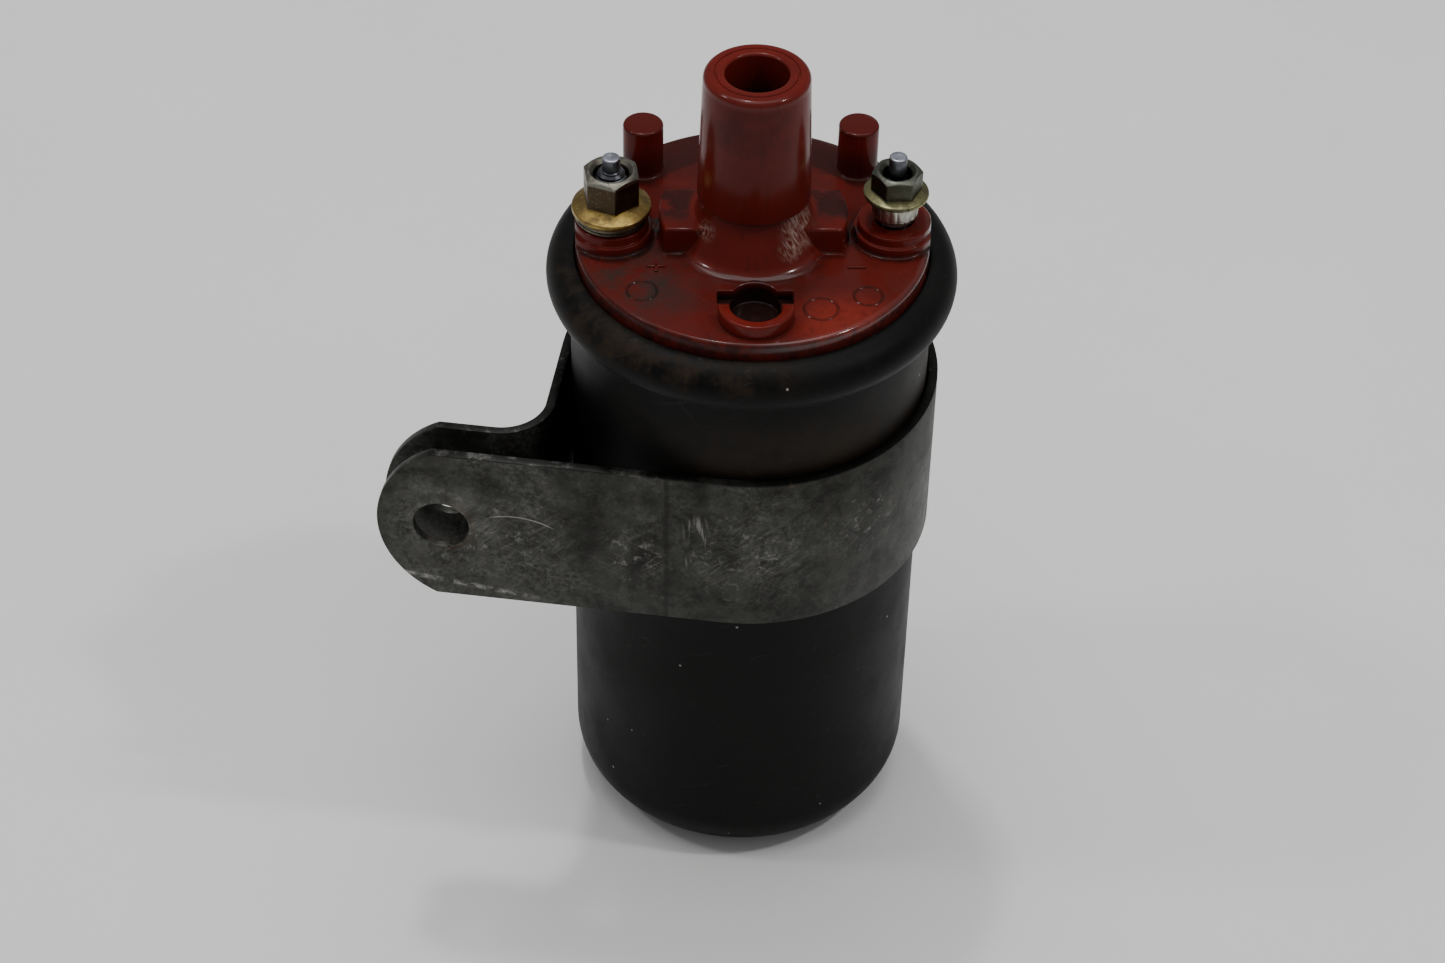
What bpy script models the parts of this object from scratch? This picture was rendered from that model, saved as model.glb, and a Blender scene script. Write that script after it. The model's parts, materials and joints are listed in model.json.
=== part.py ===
# Canister ignition coil in its clamp strap, modelled in metres with +Z up.
# The origin is the centre of the can's flat base. The strap's ears point along -X.

import math

import bmesh
import bpy

# Every size below is in millimetres and every angle in degrees.
mm = 0.001
fit_gap = 0.3            # between pieces that touch on the real coil
running_gap = 0.3        # radial clearance of nuts, washers and the strap
big_sides = 40           # facets round the can, the cap and the strap
small_sides = 20         # facets round studs, nuts and posts
inner_sides = 28         # facets round the windings
curve_error = 0.1        # most that an arc's facet strays from the true arc
cut_margin = 1.0         # how far a cutting tool runs past what it cuts
root_depth = 2.0         # how far bosses, posts and blocks reach into the disc

# Can
can_radius = 28.5
can_wall = 0.8
can_corner_radius = 9.5
bead_height = 107.2      # centre of the rolled bead above the base
bead_radius = 4.0
bead_overhang = 3.7      # how far the bead stands out from the can's side
bead_fillet = 1.5

# Cap
cap_turn = 8.8           # the stud line's angle from the strap's ears
disc_inset = 0.9         # disc's edge inside the can's side
disc_rise = 2.7          # disc face above the bead's top
disc_edge_radius = 0.7
disc_thickness = 5.4
flange_share = 0.45      # flange's underside below the bead's centre, as a share of the seal's radius
gasket_share = 0.9       # gasket's underside, likewise
skirt_clearance = 0.5
skirt_wall = 1.3
skirt_depth = 7.9        # below the flange
tower_height = 30.1      # above the disc
tower_rim_radius = 8.85
tower_taper = 0.7        # how much narrower the tower's top is than its rim
tower_edge_radius = 1.0
rim_height = 8.1         # lower rim of the tower above the disc
neck_inset = 1.0
neck_flare = 4.4         # how much wider the neck is at the disc
socket_radius = 4.85
socket_floor_rise = 4.0
socket_chamfer = 0.45

# Bosses, posts and blocks on the disc, placed in the cap's own turned frame
boss_radius = 5.7
boss_height = 3.0
boss_foot_extra = 0.6
boss_foot_height = 1.5
boss_trim = 0.05         # bosses end this far inside the disc's edge
post_angle = 45.3
post_inset = 0.2
post_radius = 3.2
post_height = 8.5
post_edge = 0.5
block_gap = 1.0          # between a block and the foot of its boss
block_half_width = 5.2
block_height = 4.7

# Locating pocket in front of the tower
pocket_radius = 3.9
pocket_length = 4.1      # between the centres of its two round ends
pocket_margin = 0.7      # between the crescent and the disc's rounded edge
pocket_depth = 3.6
notch_half_length = 5.8
notch_width = 3.0
notch_shift = 0.5
notch_depth = 1.7
crescent_radius = 5.8
crescent_height = 2.3
pip_radius = 1.0
pip_height = 1.2
tool_sides = 12

# Positive stud, M5
plus_stud_radius = 2.5
plus_stud_rise = 12.0    # shoulder above the disc
plus_tip_radius = 1.38
plus_tip_length = 2.5
plus_washer_radius = 5.7
plus_washer_thickness = 1.2
plus_nut_across_flats = 8.0
plus_nut_height = 7.3
plus_flange_radius = 6.15
plus_flange_edge = 0.9
plus_flange_cone = 1.0
plus_nut_turn = -22.0    # how far the hexagon is turned from square to the cap

# Negative stud, M4
minus_stud_radius = 2.0
minus_stud_rise = 10.7
minus_tip_radius = 1.4
minus_tip_length = 4.1
minus_collar_radius = 3.6
minus_collar_foot_radius = 3.0
minus_collar_foot_height = 1.0
minus_collar_height = 4.1
minus_nut_across_flats = 7.0
minus_nut_height = 4.5
minus_flange_radius = 5.05
minus_flange_edge = 0.7
minus_flange_cone = 0.4
minus_nut_turn = 3.0

# Shapes that both studs and both nuts share
stud_bevel = 0.3
stud_head_overhang = 1.0
stud_head_thickness = 2.4
nut_chamfer_slope = 0.8  # drop of the chamfer for each unit that the corners stand out
nut_cone_inset = 0.15    # crown face and flange cone inside the flats
nut_corner_clear = 0.2   # the crown's cutter outside the corners

# High-tension contact and spring
contact_button_side = 1.3
contact_button_thickness = 2.2
contact_crown_radius = 2.7
contact_stem_radius = 2.3
contact_foot_thickness = 1.2
nozzle_wall = 2.6
nozzle_room_radius = 5.2
nozzle_room_depth = 11.2
spring_wire_radius = 0.45
spring_turns = 5
spring_points_per_turn = 14

# Winding pack, from the can inwards
shield_sheet = 0.8
shield_clearance = 0.7
shield_slit_width = 2.0
wrap_thickness = 1.0
primary_depth = 3.9
barrier_thickness = 1.3
core_tube_wall = 1.3
core_tube_bore = 6.2
strip_count = 7
strip_thickness = 1.3
strip_side_gap = 0.4     # between a strip's edges and the tube
pack_head_room = 20.9    # from the bead's centre down to the top of the windings
secondary_margin = 3.9   # bare tube at each end of the secondary winding
core_plate_thickness = 1.2
spacer_thickness = 2.3
spacer_play = 0.4
tube_stand = 1.4         # core tube above the spacer
strip_stand = 0.7        # core strips above the tube

# Porcelain base
foot_inset = 3.0         # foot ring inside the flat of the can's floor
foot_wall = 4.0
foot_height = 6.0
plate_thickness = 3.0
plate_clearance = 2.0
cup_wall = 1.8
cup_height = 3.4

# Leads
lead_radius = 0.6
lead_hole_radius = 1.3
lead_points = 12
minus_lead_shift = 1.0   # negative lead's end beyond its stud's axis
secondary_lead_inset = 2.7
secondary_lead_shift = 2.1

# Clamp strap
strap_thickness = 1.5
strap_width = 29.5
strap_drop = 33.75       # middle of the strap below the bead's centre
ear_gap = 5.0
ear_bend_radius = 7.0
ear_hole_reach = 7.6     # from the end of the bend to the hole's centre
ear_hole_radius = 4.5    # front ear
ear_thread_radius = 3.3  # rear ear, tapped for the M8 clamp bolt
ear_hole_margin = 10.3   # from the holes' axis to the ears' tips
ear_end_rise = 9.1       # how far the rounded end stands out past its corners

# Places worked out from the sizes above
can_bore = can_radius - can_wall
bead_ring = can_radius + bead_overhang - bead_radius
bead_top = bead_height + bead_radius
disc_radius = can_radius - disc_inset
lip_radius = disc_radius + fit_gap
disc_z = bead_top + disc_rise
disc_under_z = disc_z - disc_thickness
tower_top_z = disc_z + tower_height
rim_z = disc_z + rim_height
seal_radius = bead_radius - can_wall - fit_gap      # what the bead's inside holds
flange_top_z = bead_height + seal_radius
flange_low_z = bead_height - seal_radius * flange_share
gasket_low_z = bead_height - seal_radius * gasket_share
tower_top_radius = tower_rim_radius - tower_taper
neck_radius = tower_rim_radius - neck_inset
skirt_radius = can_bore - skirt_clearance
skirt_bore = skirt_radius - skirt_wall
skirt_low_z = flange_low_z - skirt_depth
socket_floor_z = disc_z + socket_floor_rise
boss_top_z = disc_z + boss_height
boss_foot_radius = boss_radius + boss_foot_extra
stud_offset = disc_radius - boss_radius
block_reach = stud_offset - boss_foot_radius - block_gap
post_distance = disc_radius - post_radius - post_inset
post_x = post_distance * math.cos(math.radians(post_angle))
post_y = post_distance * math.sin(math.radians(post_angle))
pocket_far = disc_radius - disc_edge_radius - pocket_margin - crescent_radius
pocket_near = pocket_far - pocket_length
notch_offset = pocket_near - notch_shift
pack_top_z = bead_height - pack_head_room
foot_z = can_wall + fit_gap
plate_low_z = foot_z + foot_height
plate_top_z = plate_low_z + plate_thickness
pack_low_z = plate_top_z + fit_gap
spacer_low_z = pack_top_z + fit_gap
spacer_top_z = spacer_low_z + spacer_thickness
core_tube_radius = core_tube_bore + core_tube_wall
core_tube_top_z = spacer_top_z + tube_stand
strip_top_z = core_tube_top_z + strip_stand
core_plate_low_z = strip_top_z + fit_gap
core_plate_top_z = core_plate_low_z + core_plate_thickness
nozzle_low_z = core_plate_top_z + fit_gap
nozzle_room_top_z = nozzle_low_z + nozzle_room_depth
nozzle_radius = nozzle_room_radius + nozzle_wall
shield_outer = can_bore - shield_clearance
shield_middle = shield_outer - shield_sheet
shield_inner = shield_middle - fit_gap - shield_sheet
wrap_outer = shield_inner - fit_gap
primary_outer = wrap_outer - wrap_thickness - fit_gap
barrier_outer = primary_outer - primary_depth - fit_gap
secondary_outer = barrier_outer - barrier_thickness - fit_gap
secondary_inner = core_tube_radius + fit_gap
primary_middle = (barrier_outer + fit_gap + primary_outer) / 2
secondary_lead_foot = secondary_outer - secondary_lead_inset
foot_radius = can_radius - can_corner_radius - foot_inset
stud_head_z = disc_under_z - fit_gap
lead_head_z = stud_head_z - stud_head_thickness - fit_gap
strap_inner = can_radius + running_gap
strap_line = strap_inner + strap_thickness / 2
strap_height = bead_height - strap_drop
ear_bend_line = ear_bend_radius + strap_thickness / 2
ear_bend_x = -(strap_line + ear_bend_line)
ear_hole_x = ear_bend_x - ear_hole_reach
ear_tip_x = ear_hole_x - ear_hole_margin


def clear_scene():
    for obj in list(bpy.data.objects):
        bpy.data.objects.remove(obj, do_unlink=True)


def make_material(name, colour, roughness, metallic):
    material = bpy.data.materials.new(name)
    material.use_nodes = True
    shader = material.node_tree.nodes["Principled BSDF"]
    shader.inputs["Base Color"].default_value = (*colour, 1.0)
    shader.inputs["Roughness"].default_value = roughness
    shader.inputs["Metallic"].default_value = metallic
    material.diffuse_color = (*colour, 1.0)
    return material


def make_materials():
    return {
        "can_paint": make_material("can_paint", (0.013, 0.013, 0.014), 0.42, 0.3),
        "cap_moulding": make_material("cap_moulding", (0.16, 0.022, 0.016), 0.3, 0.0),
        "strap_steel": make_material("strap_steel", (0.10, 0.105, 0.09), 0.55, 0.8),
        "yellow_zinc": make_material("yellow_zinc", (0.34, 0.26, 0.09), 0.38, 1.0),
        "green_zinc": make_material("green_zinc", (0.30, 0.31, 0.20), 0.36, 1.0),
        "bright_zinc": make_material("bright_zinc", (0.45, 0.45, 0.42), 0.3, 1.0),
        "rubber": make_material("rubber", (0.015, 0.015, 0.015), 0.8, 0.0),
        "brass": make_material("brass", (0.60, 0.42, 0.15), 0.3, 1.0),
        "spring_steel": make_material("spring_steel", (0.4, 0.4, 0.4), 0.35, 1.0),
        "core_iron": make_material("core_iron", (0.18, 0.18, 0.19), 0.5, 1.0),
        "copper": make_material("copper", (0.55, 0.22, 0.10), 0.35, 1.0),
        "wound_wire": make_material("wound_wire", (0.50, 0.22, 0.10), 0.45, 1.0),
        "paper": make_material("paper", (0.50, 0.38, 0.20), 0.8, 0.0),
        "pressboard": make_material("pressboard", (0.22, 0.15, 0.09), 0.8, 0.0),
        "porcelain": make_material("porcelain", (0.75, 0.73, 0.68), 0.25, 0.0),
    }


def arc(centre_x, centre_y, radius, start, end):
    facet = 2 * math.degrees(math.acos(1 - min(1, curve_error / radius)))
    steps = math.ceil(abs(end - start) / facet)
    points = []
    for index in range(steps + 1):
        angle = math.radians(start + (end - start) * index / steps)
        points.append((centre_x + radius * math.cos(angle), centre_y + radius * math.sin(angle)))
    return points


def add_object(name, mesh_builder, material=None, parent=None, at=(0, 0, 0)):
    bmesh.ops.recalc_face_normals(mesh_builder, faces=mesh_builder.faces)
    mesh = bpy.data.meshes.new(name)
    mesh_builder.to_mesh(mesh)
    mesh_builder.free()
    mesh.shade_smooth()
    mesh.set_sharp_from_angle(angle=math.radians(35))
    obj = bpy.data.objects.new(name, mesh)
    bpy.context.scene.collection.objects.link(obj)
    obj.location = [value * mm for value in at]
    if parent:
        obj.parent = parent
    if material:
        mesh.materials.append(material)
    else:
        obj.hide_render = True
        obj.display_type = "WIRE"
    return obj


# A body turned about Z from an outline of (radius, height) points.
# An outline that starts and ends on the axis is solid; any other is a ring.
def turned(name, outline, material=None, parent=None, at=(0, 0, 0), sides=big_sides):
    builder = bmesh.new()
    verts = [builder.verts.new((radius * mm, 0, height * mm)) for radius, height in outline]
    for low, high in zip(verts, verts[1:]):
        builder.edges.new((low, high))
    if outline[0][0] > 0:
        builder.edges.new((verts[-1], verts[0]))
    geometry = builder.verts[:] + builder.edges[:]
    bmesh.ops.spin(builder, geom=geometry, cent=(0, 0, 0), axis=(0, 0, 1),
                   angle=math.tau, steps=sides, use_merge=True)
    bmesh.ops.remove_doubles(builder, verts=builder.verts, dist=1e-7)
    return add_object(name, builder, material, parent, at)


# A ring or, with no bore, a plain disc.
def tube(name, bore, radius, low, high, material=None, parent=None, at=(0, 0, 0), sides=inner_sides):
    outline = [(bore, low), (radius, low), (radius, high), (bore, high)]
    return turned(name, outline, material, parent, at, sides)


# A straight body: an outline in the XY plane, raised from one height to another.
def raised(name, outline, low, high, material=None, parent=None, at=(0, 0, 0)):
    builder = bmesh.new()
    verts = [builder.verts.new((x * mm, y * mm, low * mm)) for x, y in outline]
    face = builder.faces.new(verts)
    top = bmesh.ops.extrude_face_region(builder, geom=[face])
    moved = [item for item in top["geom"] if isinstance(item, bmesh.types.BMVert)]
    bmesh.ops.translate(builder, verts=moved, vec=(0, 0, (high - low) * mm))
    return add_object(name, builder, material, parent, at)


def combine(target, tool, operation, solver="EXACT"):
    modifier = target.modifiers.new(tool.name, "BOOLEAN")
    modifier.operation = operation
    modifier.object = tool
    modifier.solver = solver


def wire(name, points, radius, material, parent, resolution=1):
    curve = bpy.data.curves.new(name, "CURVE")
    curve.dimensions = "3D"
    curve.bevel_depth = radius * mm
    curve.bevel_resolution = resolution
    curve.use_fill_caps = True
    spline = curve.splines.new("POLY")
    spline.points.add(len(points) - 1)
    for point, place in zip(spline.points, points):
        point.co = (*[value * mm for value in place], 1.0)
    curve.materials.append(material)
    obj = bpy.data.objects.new(name, curve)
    bpy.context.scene.collection.objects.link(obj)
    obj.parent = parent
    return obj


def hexagon(across_flats, turn):
    corner = across_flats / 2 / math.cos(math.pi / 6)
    angles = [math.radians(turn + 60 * index) for index in range(6)]
    return [(corner * math.cos(angle), corner * math.sin(angle)) for angle in angles]


# Drawn steel can: flat base, round corner, straight side and a bead rolled in over the cap's flange.
def make_can(materials):
    corner_x = can_radius - can_corner_radius
    fillet_x = can_radius + bead_fillet
    fillet_drop = math.sqrt((bead_radius + bead_fillet) ** 2 - (fillet_x - bead_ring) ** 2)
    fillet_z = bead_height - fillet_drop
    meet = math.degrees(math.atan2(-fillet_drop, fillet_x - bead_ring))
    inside_radius = bead_radius - can_wall
    lip_end = math.degrees(math.acos((lip_radius - bead_ring) / bead_radius))
    lip_start = math.degrees(math.acos((lip_radius - bead_ring) / inside_radius))
    outline = [(0, 0)]
    outline += arc(corner_x, can_corner_radius, can_corner_radius, -90, 0)
    outline += arc(fillet_x, fillet_z, bead_fillet, 180, 180 + meet)
    outline += arc(bead_ring, bead_height, bead_radius, meet, lip_end)[1:]
    outline += arc(bead_ring, bead_height, inside_radius, lip_start, meet)
    outline += arc(fillet_x, fillet_z, bead_fillet + can_wall, 180 + meet, 180)[1:]
    outline += arc(corner_x, can_corner_radius, can_corner_radius - can_wall, 0, -90)
    outline.append((0, can_wall))
    return turned("can", outline, materials["can_paint"])


# The gasket's outer edge follows the inside of the bead.
def make_gasket(materials):
    top_z = flange_low_z - fit_gap
    bore = skirt_radius + fit_gap
    edge = arc(bead_ring, bead_height, seal_radius,
               -math.degrees(math.asin(gasket_share)),
               math.degrees(math.asin((top_z - bead_height) / seal_radius)))
    return turned("cap_gasket", [(bore, gasket_low_z)] + edge + [(bore, top_z)], materials["rubber"])


def cap_outline():
    low_edge = -math.degrees(math.asin(flange_share))
    outline = [(socket_radius, tower_top_z - socket_chamfer)]
    outline.append((socket_radius + socket_chamfer, tower_top_z))
    outline += arc(tower_top_radius - tower_edge_radius, tower_top_z - tower_edge_radius,
                   tower_edge_radius, 90, 0)
    outline.append((tower_rim_radius, rim_z))
    outline.append((neck_radius, rim_z - fit_gap))
    outline.append((neck_radius + neck_flare, disc_z))
    outline += arc(disc_radius - disc_edge_radius, disc_z - disc_edge_radius, disc_edge_radius, 90, 0)
    outline.append((disc_radius, flange_top_z))
    outline += arc(bead_ring, bead_height, seal_radius, 90, low_edge)
    outline += [(skirt_radius, flange_low_z), (skirt_radius, skirt_low_z)]
    outline += [(skirt_bore, skirt_low_z), (skirt_bore, disc_under_z)]
    outline += [(nozzle_radius, disc_under_z), (nozzle_radius, nozzle_low_z)]
    outline += [(nozzle_room_radius, nozzle_low_z), (nozzle_room_radius, nozzle_room_top_z)]
    stem_hole = contact_stem_radius + fit_gap
    outline += [(stem_hole, nozzle_room_top_z), (stem_hole, socket_floor_z)]
    outline.append((socket_radius, socket_floor_z))
    return outline


# Stepped boss under a nut, trimmed to the disc's edge.
def make_boss(name, offset, frame, trim):
    root_z = disc_z - root_depth
    foot_top = disc_z + boss_foot_height
    outline = [(0, root_z), (boss_foot_radius, root_z), (boss_foot_radius, foot_top)]
    outline += [(boss_radius, foot_top), (boss_radius, boss_top_z), (0, boss_top_z)]
    boss = turned(name, outline, parent=frame, at=(offset, 0, 0), sides=small_sides)
    combine(boss, trim, "INTERSECT")
    return boss


def make_post(name, offset, frame):
    root_z = disc_z - root_depth
    top_z = disc_z + post_height
    outline = [(0, root_z), (post_radius, root_z)]
    outline += arc(post_radius - post_edge, top_z - post_edge, post_edge, 0, 90)
    outline.append((0, top_z))
    return turned(name, outline, parent=frame, at=(offset, post_y, 0), sides=small_sides)


# Rib that runs from the tower's neck towards a boss.
def make_block(name, side, frame):
    corner_angle = math.degrees(math.asin(block_half_width / block_reach))
    inner_x = neck_radius - cut_margin
    outline = [(inner_x, -block_half_width)]
    outline += arc(0, 0, block_reach, -corner_angle, corner_angle)
    outline.append((inner_x, block_half_width))
    outline = [(side * x, y) for x, y in outline]
    return raised(name, outline, disc_z - root_depth, disc_z + block_height, parent=frame)


def pocket_outline(radius):
    return arc(0, -pocket_near, radius, 0, 180) + arc(0, -pocket_far, radius, 180, 360)


def make_crescent(frame):
    outline = arc(0, -pocket_far, crescent_radius, 180, 360)
    outline += arc(0, -pocket_far, pocket_radius, 360, 180)
    return raised("crescent_tool", outline, disc_z - root_depth, disc_z + crescent_height, parent=frame)


def make_notch(frame):
    low_y = -notch_offset - notch_width / 2
    high_y = -notch_offset + notch_width / 2
    outline = [(-notch_half_length, low_y), (notch_half_length, low_y)]
    outline += [(notch_half_length, high_y), (-notch_half_length, high_y)]
    return raised("notch_tool", outline, disc_z - notch_depth, disc_z + block_height, parent=frame)


def stud_hole(name, offset, radius, frame):
    low = disc_under_z - cut_margin
    high = boss_top_z + cut_margin
    outline = [(0, low), (radius, low), (radius, high), (0, high)]
    return turned(name, outline, parent=frame, at=(offset, 0, 0), sides=small_sides)


# Moulded cap: disc, sealing flange, inner skirt, high-tension tower and the nozzle under it.
def make_cap(materials, frame):
    cap = turned("cap", cap_outline(), materials["cap_moulding"], frame)
    trim_low = disc_z - root_depth - cut_margin
    trim_high = boss_top_z + cut_margin
    trim_radius = disc_radius - boss_trim
    trim_outline = [(0, trim_low), (trim_radius, trim_low), (trim_radius, trim_high), (0, trim_high)]
    trim = turned("trim_tool", trim_outline, parent=frame)
    combine(cap, make_block("block_left_tool", -1, frame), "UNION")
    combine(cap, make_block("block_right_tool", 1, frame), "UNION")
    combine(cap, make_boss("boss_plus_tool", -stud_offset, frame, trim), "UNION")
    combine(cap, make_boss("boss_minus_tool", stud_offset, frame, trim), "UNION")
    combine(cap, make_post("post_left_tool", -post_x, frame), "UNION")
    combine(cap, make_post("post_right_tool", post_x, frame), "UNION")
    combine(cap, make_crescent(frame), "UNION")
    pocket = raised("pocket_tool", pocket_outline(pocket_radius), disc_z - pocket_depth,
                    disc_z + block_height, parent=frame)
    combine(cap, pocket, "DIFFERENCE")
    combine(cap, make_notch(frame), "DIFFERENCE")
    pip_y = -(pocket_near + pocket_far) / 2
    floor_z = disc_z - pocket_depth
    pip_low = floor_z - cut_margin
    pip_high = floor_z + pip_height
    pip_outline = [(0, pip_low), (pip_radius, pip_low), (pip_radius, pip_high), (0, pip_high)]
    pip = turned("pip_tool", pip_outline, parent=frame, at=(0, pip_y, 0), sides=tool_sides)
    combine(cap, pip, "UNION")
    plus_hole = stud_hole("plus_hole_tool", -stud_offset, plus_stud_radius + fit_gap, frame)
    minus_hole = stud_hole("minus_hole_tool", stud_offset, minus_stud_radius + fit_gap, frame)
    combine(cap, plus_hole, "DIFFERENCE", "MANIFOLD")
    combine(cap, minus_hole, "DIFFERENCE", "MANIFOLD")
    return cap


# Threaded stud with a round head under the disc and a dog point on top.
def make_stud(name, offset, radius, rise, tip_radius, tip_length, material, frame):
    shoulder = disc_z + rise
    tip = shoulder + tip_length
    head_radius = radius + stud_head_overhang
    head_low = stud_head_z - stud_head_thickness
    outline = [(0, head_low), (head_radius, head_low), (head_radius, stud_head_z), (radius, stud_head_z)]
    outline += [(radius, shoulder - stud_bevel), (radius - stud_bevel, shoulder), (tip_radius, shoulder)]
    outline += [(tip_radius, tip - stud_bevel), (tip_radius - stud_bevel, tip), (0, tip)]
    return turned(name, outline, material, frame, (offset, 0, 0), small_sides)


# Flange nut: a chamfered hexagon on a thin conical flange.
def make_nut(name, offset, low, sizes, material, frame):
    flats, height, flange_radius, flange_edge, flange_cone, bore, turn = sizes
    corner = flats / 2 / math.cos(math.pi / 6)
    crown_low = height - (corner - flats / 2) * nut_chamfer_slope
    crown_radius = corner + nut_corner_clear
    cone_radius = flats / 2 - nut_cone_inset
    cone_top = flange_edge + flange_cone
    nut = raised(name, hexagon(flats, turn), flange_edge, height, material, frame, (offset, 0, low))
    crown_outline = [(0, -cut_margin), (crown_radius, -cut_margin), (crown_radius, crown_low)]
    crown_outline += [(cone_radius, height), (0, height)]
    crown = turned(name + "_crown_tool", crown_outline, None, frame, (offset, 0, low), small_sides)
    flange_outline = [(0, 0), (flange_radius, 0), (flange_radius, flange_edge)]
    flange_outline += [(cone_radius, cone_top), (0, cone_top)]
    flange = turned(name + "_flange_tool", flange_outline, None, frame, (offset, 0, low), small_sides)
    hole_high = height + cut_margin
    hole_outline = [(0, -cut_margin), (bore, -cut_margin), (bore, hole_high), (0, hole_high)]
    hole = turned(name + "_hole_tool", hole_outline, None, frame, (offset, 0, low), small_sides)
    combine(nut, crown, "INTERSECT")
    combine(nut, flange, "UNION")
    combine(nut, hole, "DIFFERENCE")
    return nut


def make_positive_terminal(materials, frame):
    make_stud("stud_positive", -stud_offset, plus_stud_radius, plus_stud_rise, plus_tip_radius,
              plus_tip_length, materials["bright_zinc"], frame)
    washer_z = boss_top_z + fit_gap
    bore = plus_stud_radius + running_gap
    tube("washer_positive", bore, plus_washer_radius, 0, plus_washer_thickness,
         materials["bright_zinc"], frame, (-stud_offset, 0, washer_z), small_sides)
    sizes = (plus_nut_across_flats, plus_nut_height, plus_flange_radius, plus_flange_edge,
             plus_flange_cone, bore, plus_nut_turn)
    make_nut("nut_positive", -stud_offset, washer_z + plus_washer_thickness + fit_gap, sizes,
             materials["yellow_zinc"], frame)


def make_negative_terminal(materials, frame):
    make_stud("stud_negative", stud_offset, minus_stud_radius, minus_stud_rise, minus_tip_radius,
              minus_tip_length, materials["bright_zinc"], frame)
    collar_z = boss_top_z + fit_gap
    bore = minus_stud_radius + running_gap
    outline = [(bore, 0), (minus_collar_foot_radius, 0), (minus_collar_radius, minus_collar_foot_height)]
    outline += [(minus_collar_radius, minus_collar_height), (bore, minus_collar_height)]
    turned("collar_negative", outline, materials["bright_zinc"], frame, (stud_offset, 0, collar_z),
           small_sides)
    sizes = (minus_nut_across_flats, minus_nut_height, minus_flange_radius, minus_flange_edge,
             minus_flange_cone, bore, minus_nut_turn)
    make_nut("nut_negative", stud_offset, collar_z + minus_collar_height + fit_gap, sizes,
             materials["green_zinc"], frame)


# Brass contact riveted through the socket's floor.
def make_contact(materials):
    button_radius = socket_radius - fit_gap
    button_z = socket_floor_z + fit_gap
    rivet_radius = nozzle_room_radius - fit_gap
    rivet_top = nozzle_room_top_z - fit_gap
    rivet_low = rivet_top - contact_foot_thickness
    button_top = button_z + contact_button_thickness
    outline = [(0, rivet_low), (rivet_radius, rivet_low), (rivet_radius, rivet_top)]
    outline += [(contact_stem_radius, rivet_top), (contact_stem_radius, button_z)]
    outline += [(button_radius, button_z), (button_radius, button_z + contact_button_side)]
    outline += [(contact_crown_radius, button_top), (0, button_top)]
    return turned("hv_contact", outline, materials["brass"], sides=small_sides)


def make_contact_spring(materials):
    low = core_plate_top_z + fit_gap + spring_wire_radius
    contact_low = nozzle_room_top_z - fit_gap - contact_foot_thickness
    high = contact_low - fit_gap - spring_wire_radius
    radius = nozzle_room_radius - 2 * fit_gap - spring_wire_radius
    count = spring_turns * spring_points_per_turn
    points = []
    for index in range(count + 1):
        angle = math.tau * index / spring_points_per_turn
        height = low + (high - low) * index / count
        points.append((radius * math.cos(angle), radius * math.sin(angle), height))
    return wire("contact_spring", points, spring_wire_radius, materials["spring_steel"], None)


# Flat iron strips, each as wide as the tube's bore allows where it lies.
def make_core(materials):
    pitch = strip_thickness + fit_gap
    reach = core_tube_bore - strip_side_gap
    for index in range(strip_count):
        middle = (index - (strip_count - 1) / 2) * pitch
        outer_face = abs(middle) + strip_thickness / 2
        half_width = math.sqrt(reach ** 2 - outer_face ** 2)
        low_y = middle - strip_thickness / 2
        high_y = middle + strip_thickness / 2
        outline = [(-half_width, low_y), (half_width, low_y), (half_width, high_y), (-half_width, high_y)]
        raised(f"core_strip_{index + 1}", outline, pack_low_z, strip_top_z, materials["core_iron"])
    plate_outline = [(0, core_plate_low_z), (core_tube_radius, core_plate_low_z)]
    plate_outline += [(core_tube_radius, core_plate_top_z), (0, core_plate_top_z)]
    turned("core_plate", plate_outline, materials["brass"], sides=inner_sides)


# A slit sleeve of thin sheet; the slit keeps it from being a shorted turn.
def make_sleeve(name, bore, radius, slit_angle, materials):
    half_slit = math.degrees(shield_slit_width / 2 / radius)
    sides = inner_sides
    outline = []
    for index in range(sides + 1):
        angle = math.radians(slit_angle + half_slit + (360 - 2 * half_slit) * index / sides)
        outline.append((radius * math.cos(angle), radius * math.sin(angle)))
    for index in range(sides + 1):
        angle = math.radians(slit_angle - half_slit - (360 - 2 * half_slit) * index / sides)
        outline.append((bore * math.cos(angle), bore * math.sin(angle)))
    raised(name, outline, pack_low_z, pack_top_z, materials["core_iron"])


def make_windings(materials):
    tube("core_tube", core_tube_bore, core_tube_radius, pack_low_z, core_tube_top_z,
         materials["pressboard"])
    tube("secondary_winding", secondary_inner, secondary_outer, pack_low_z + secondary_margin,
         pack_top_z - secondary_margin, materials["wound_wire"])
    tube("winding_barrier", secondary_outer + fit_gap, barrier_outer, pack_low_z, pack_top_z,
         materials["paper"])
    tube("primary_winding", barrier_outer + fit_gap, primary_outer, pack_low_z, pack_top_z,
         materials["copper"])
    tube("winding_wrap", primary_outer + fit_gap, wrap_outer, pack_low_z, pack_top_z,
         materials["paper"])
    make_sleeve("shield_inner", shield_inner, shield_inner + shield_sheet, 90, materials)
    make_sleeve("shield_outer", shield_middle, shield_outer, -90, materials)


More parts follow.
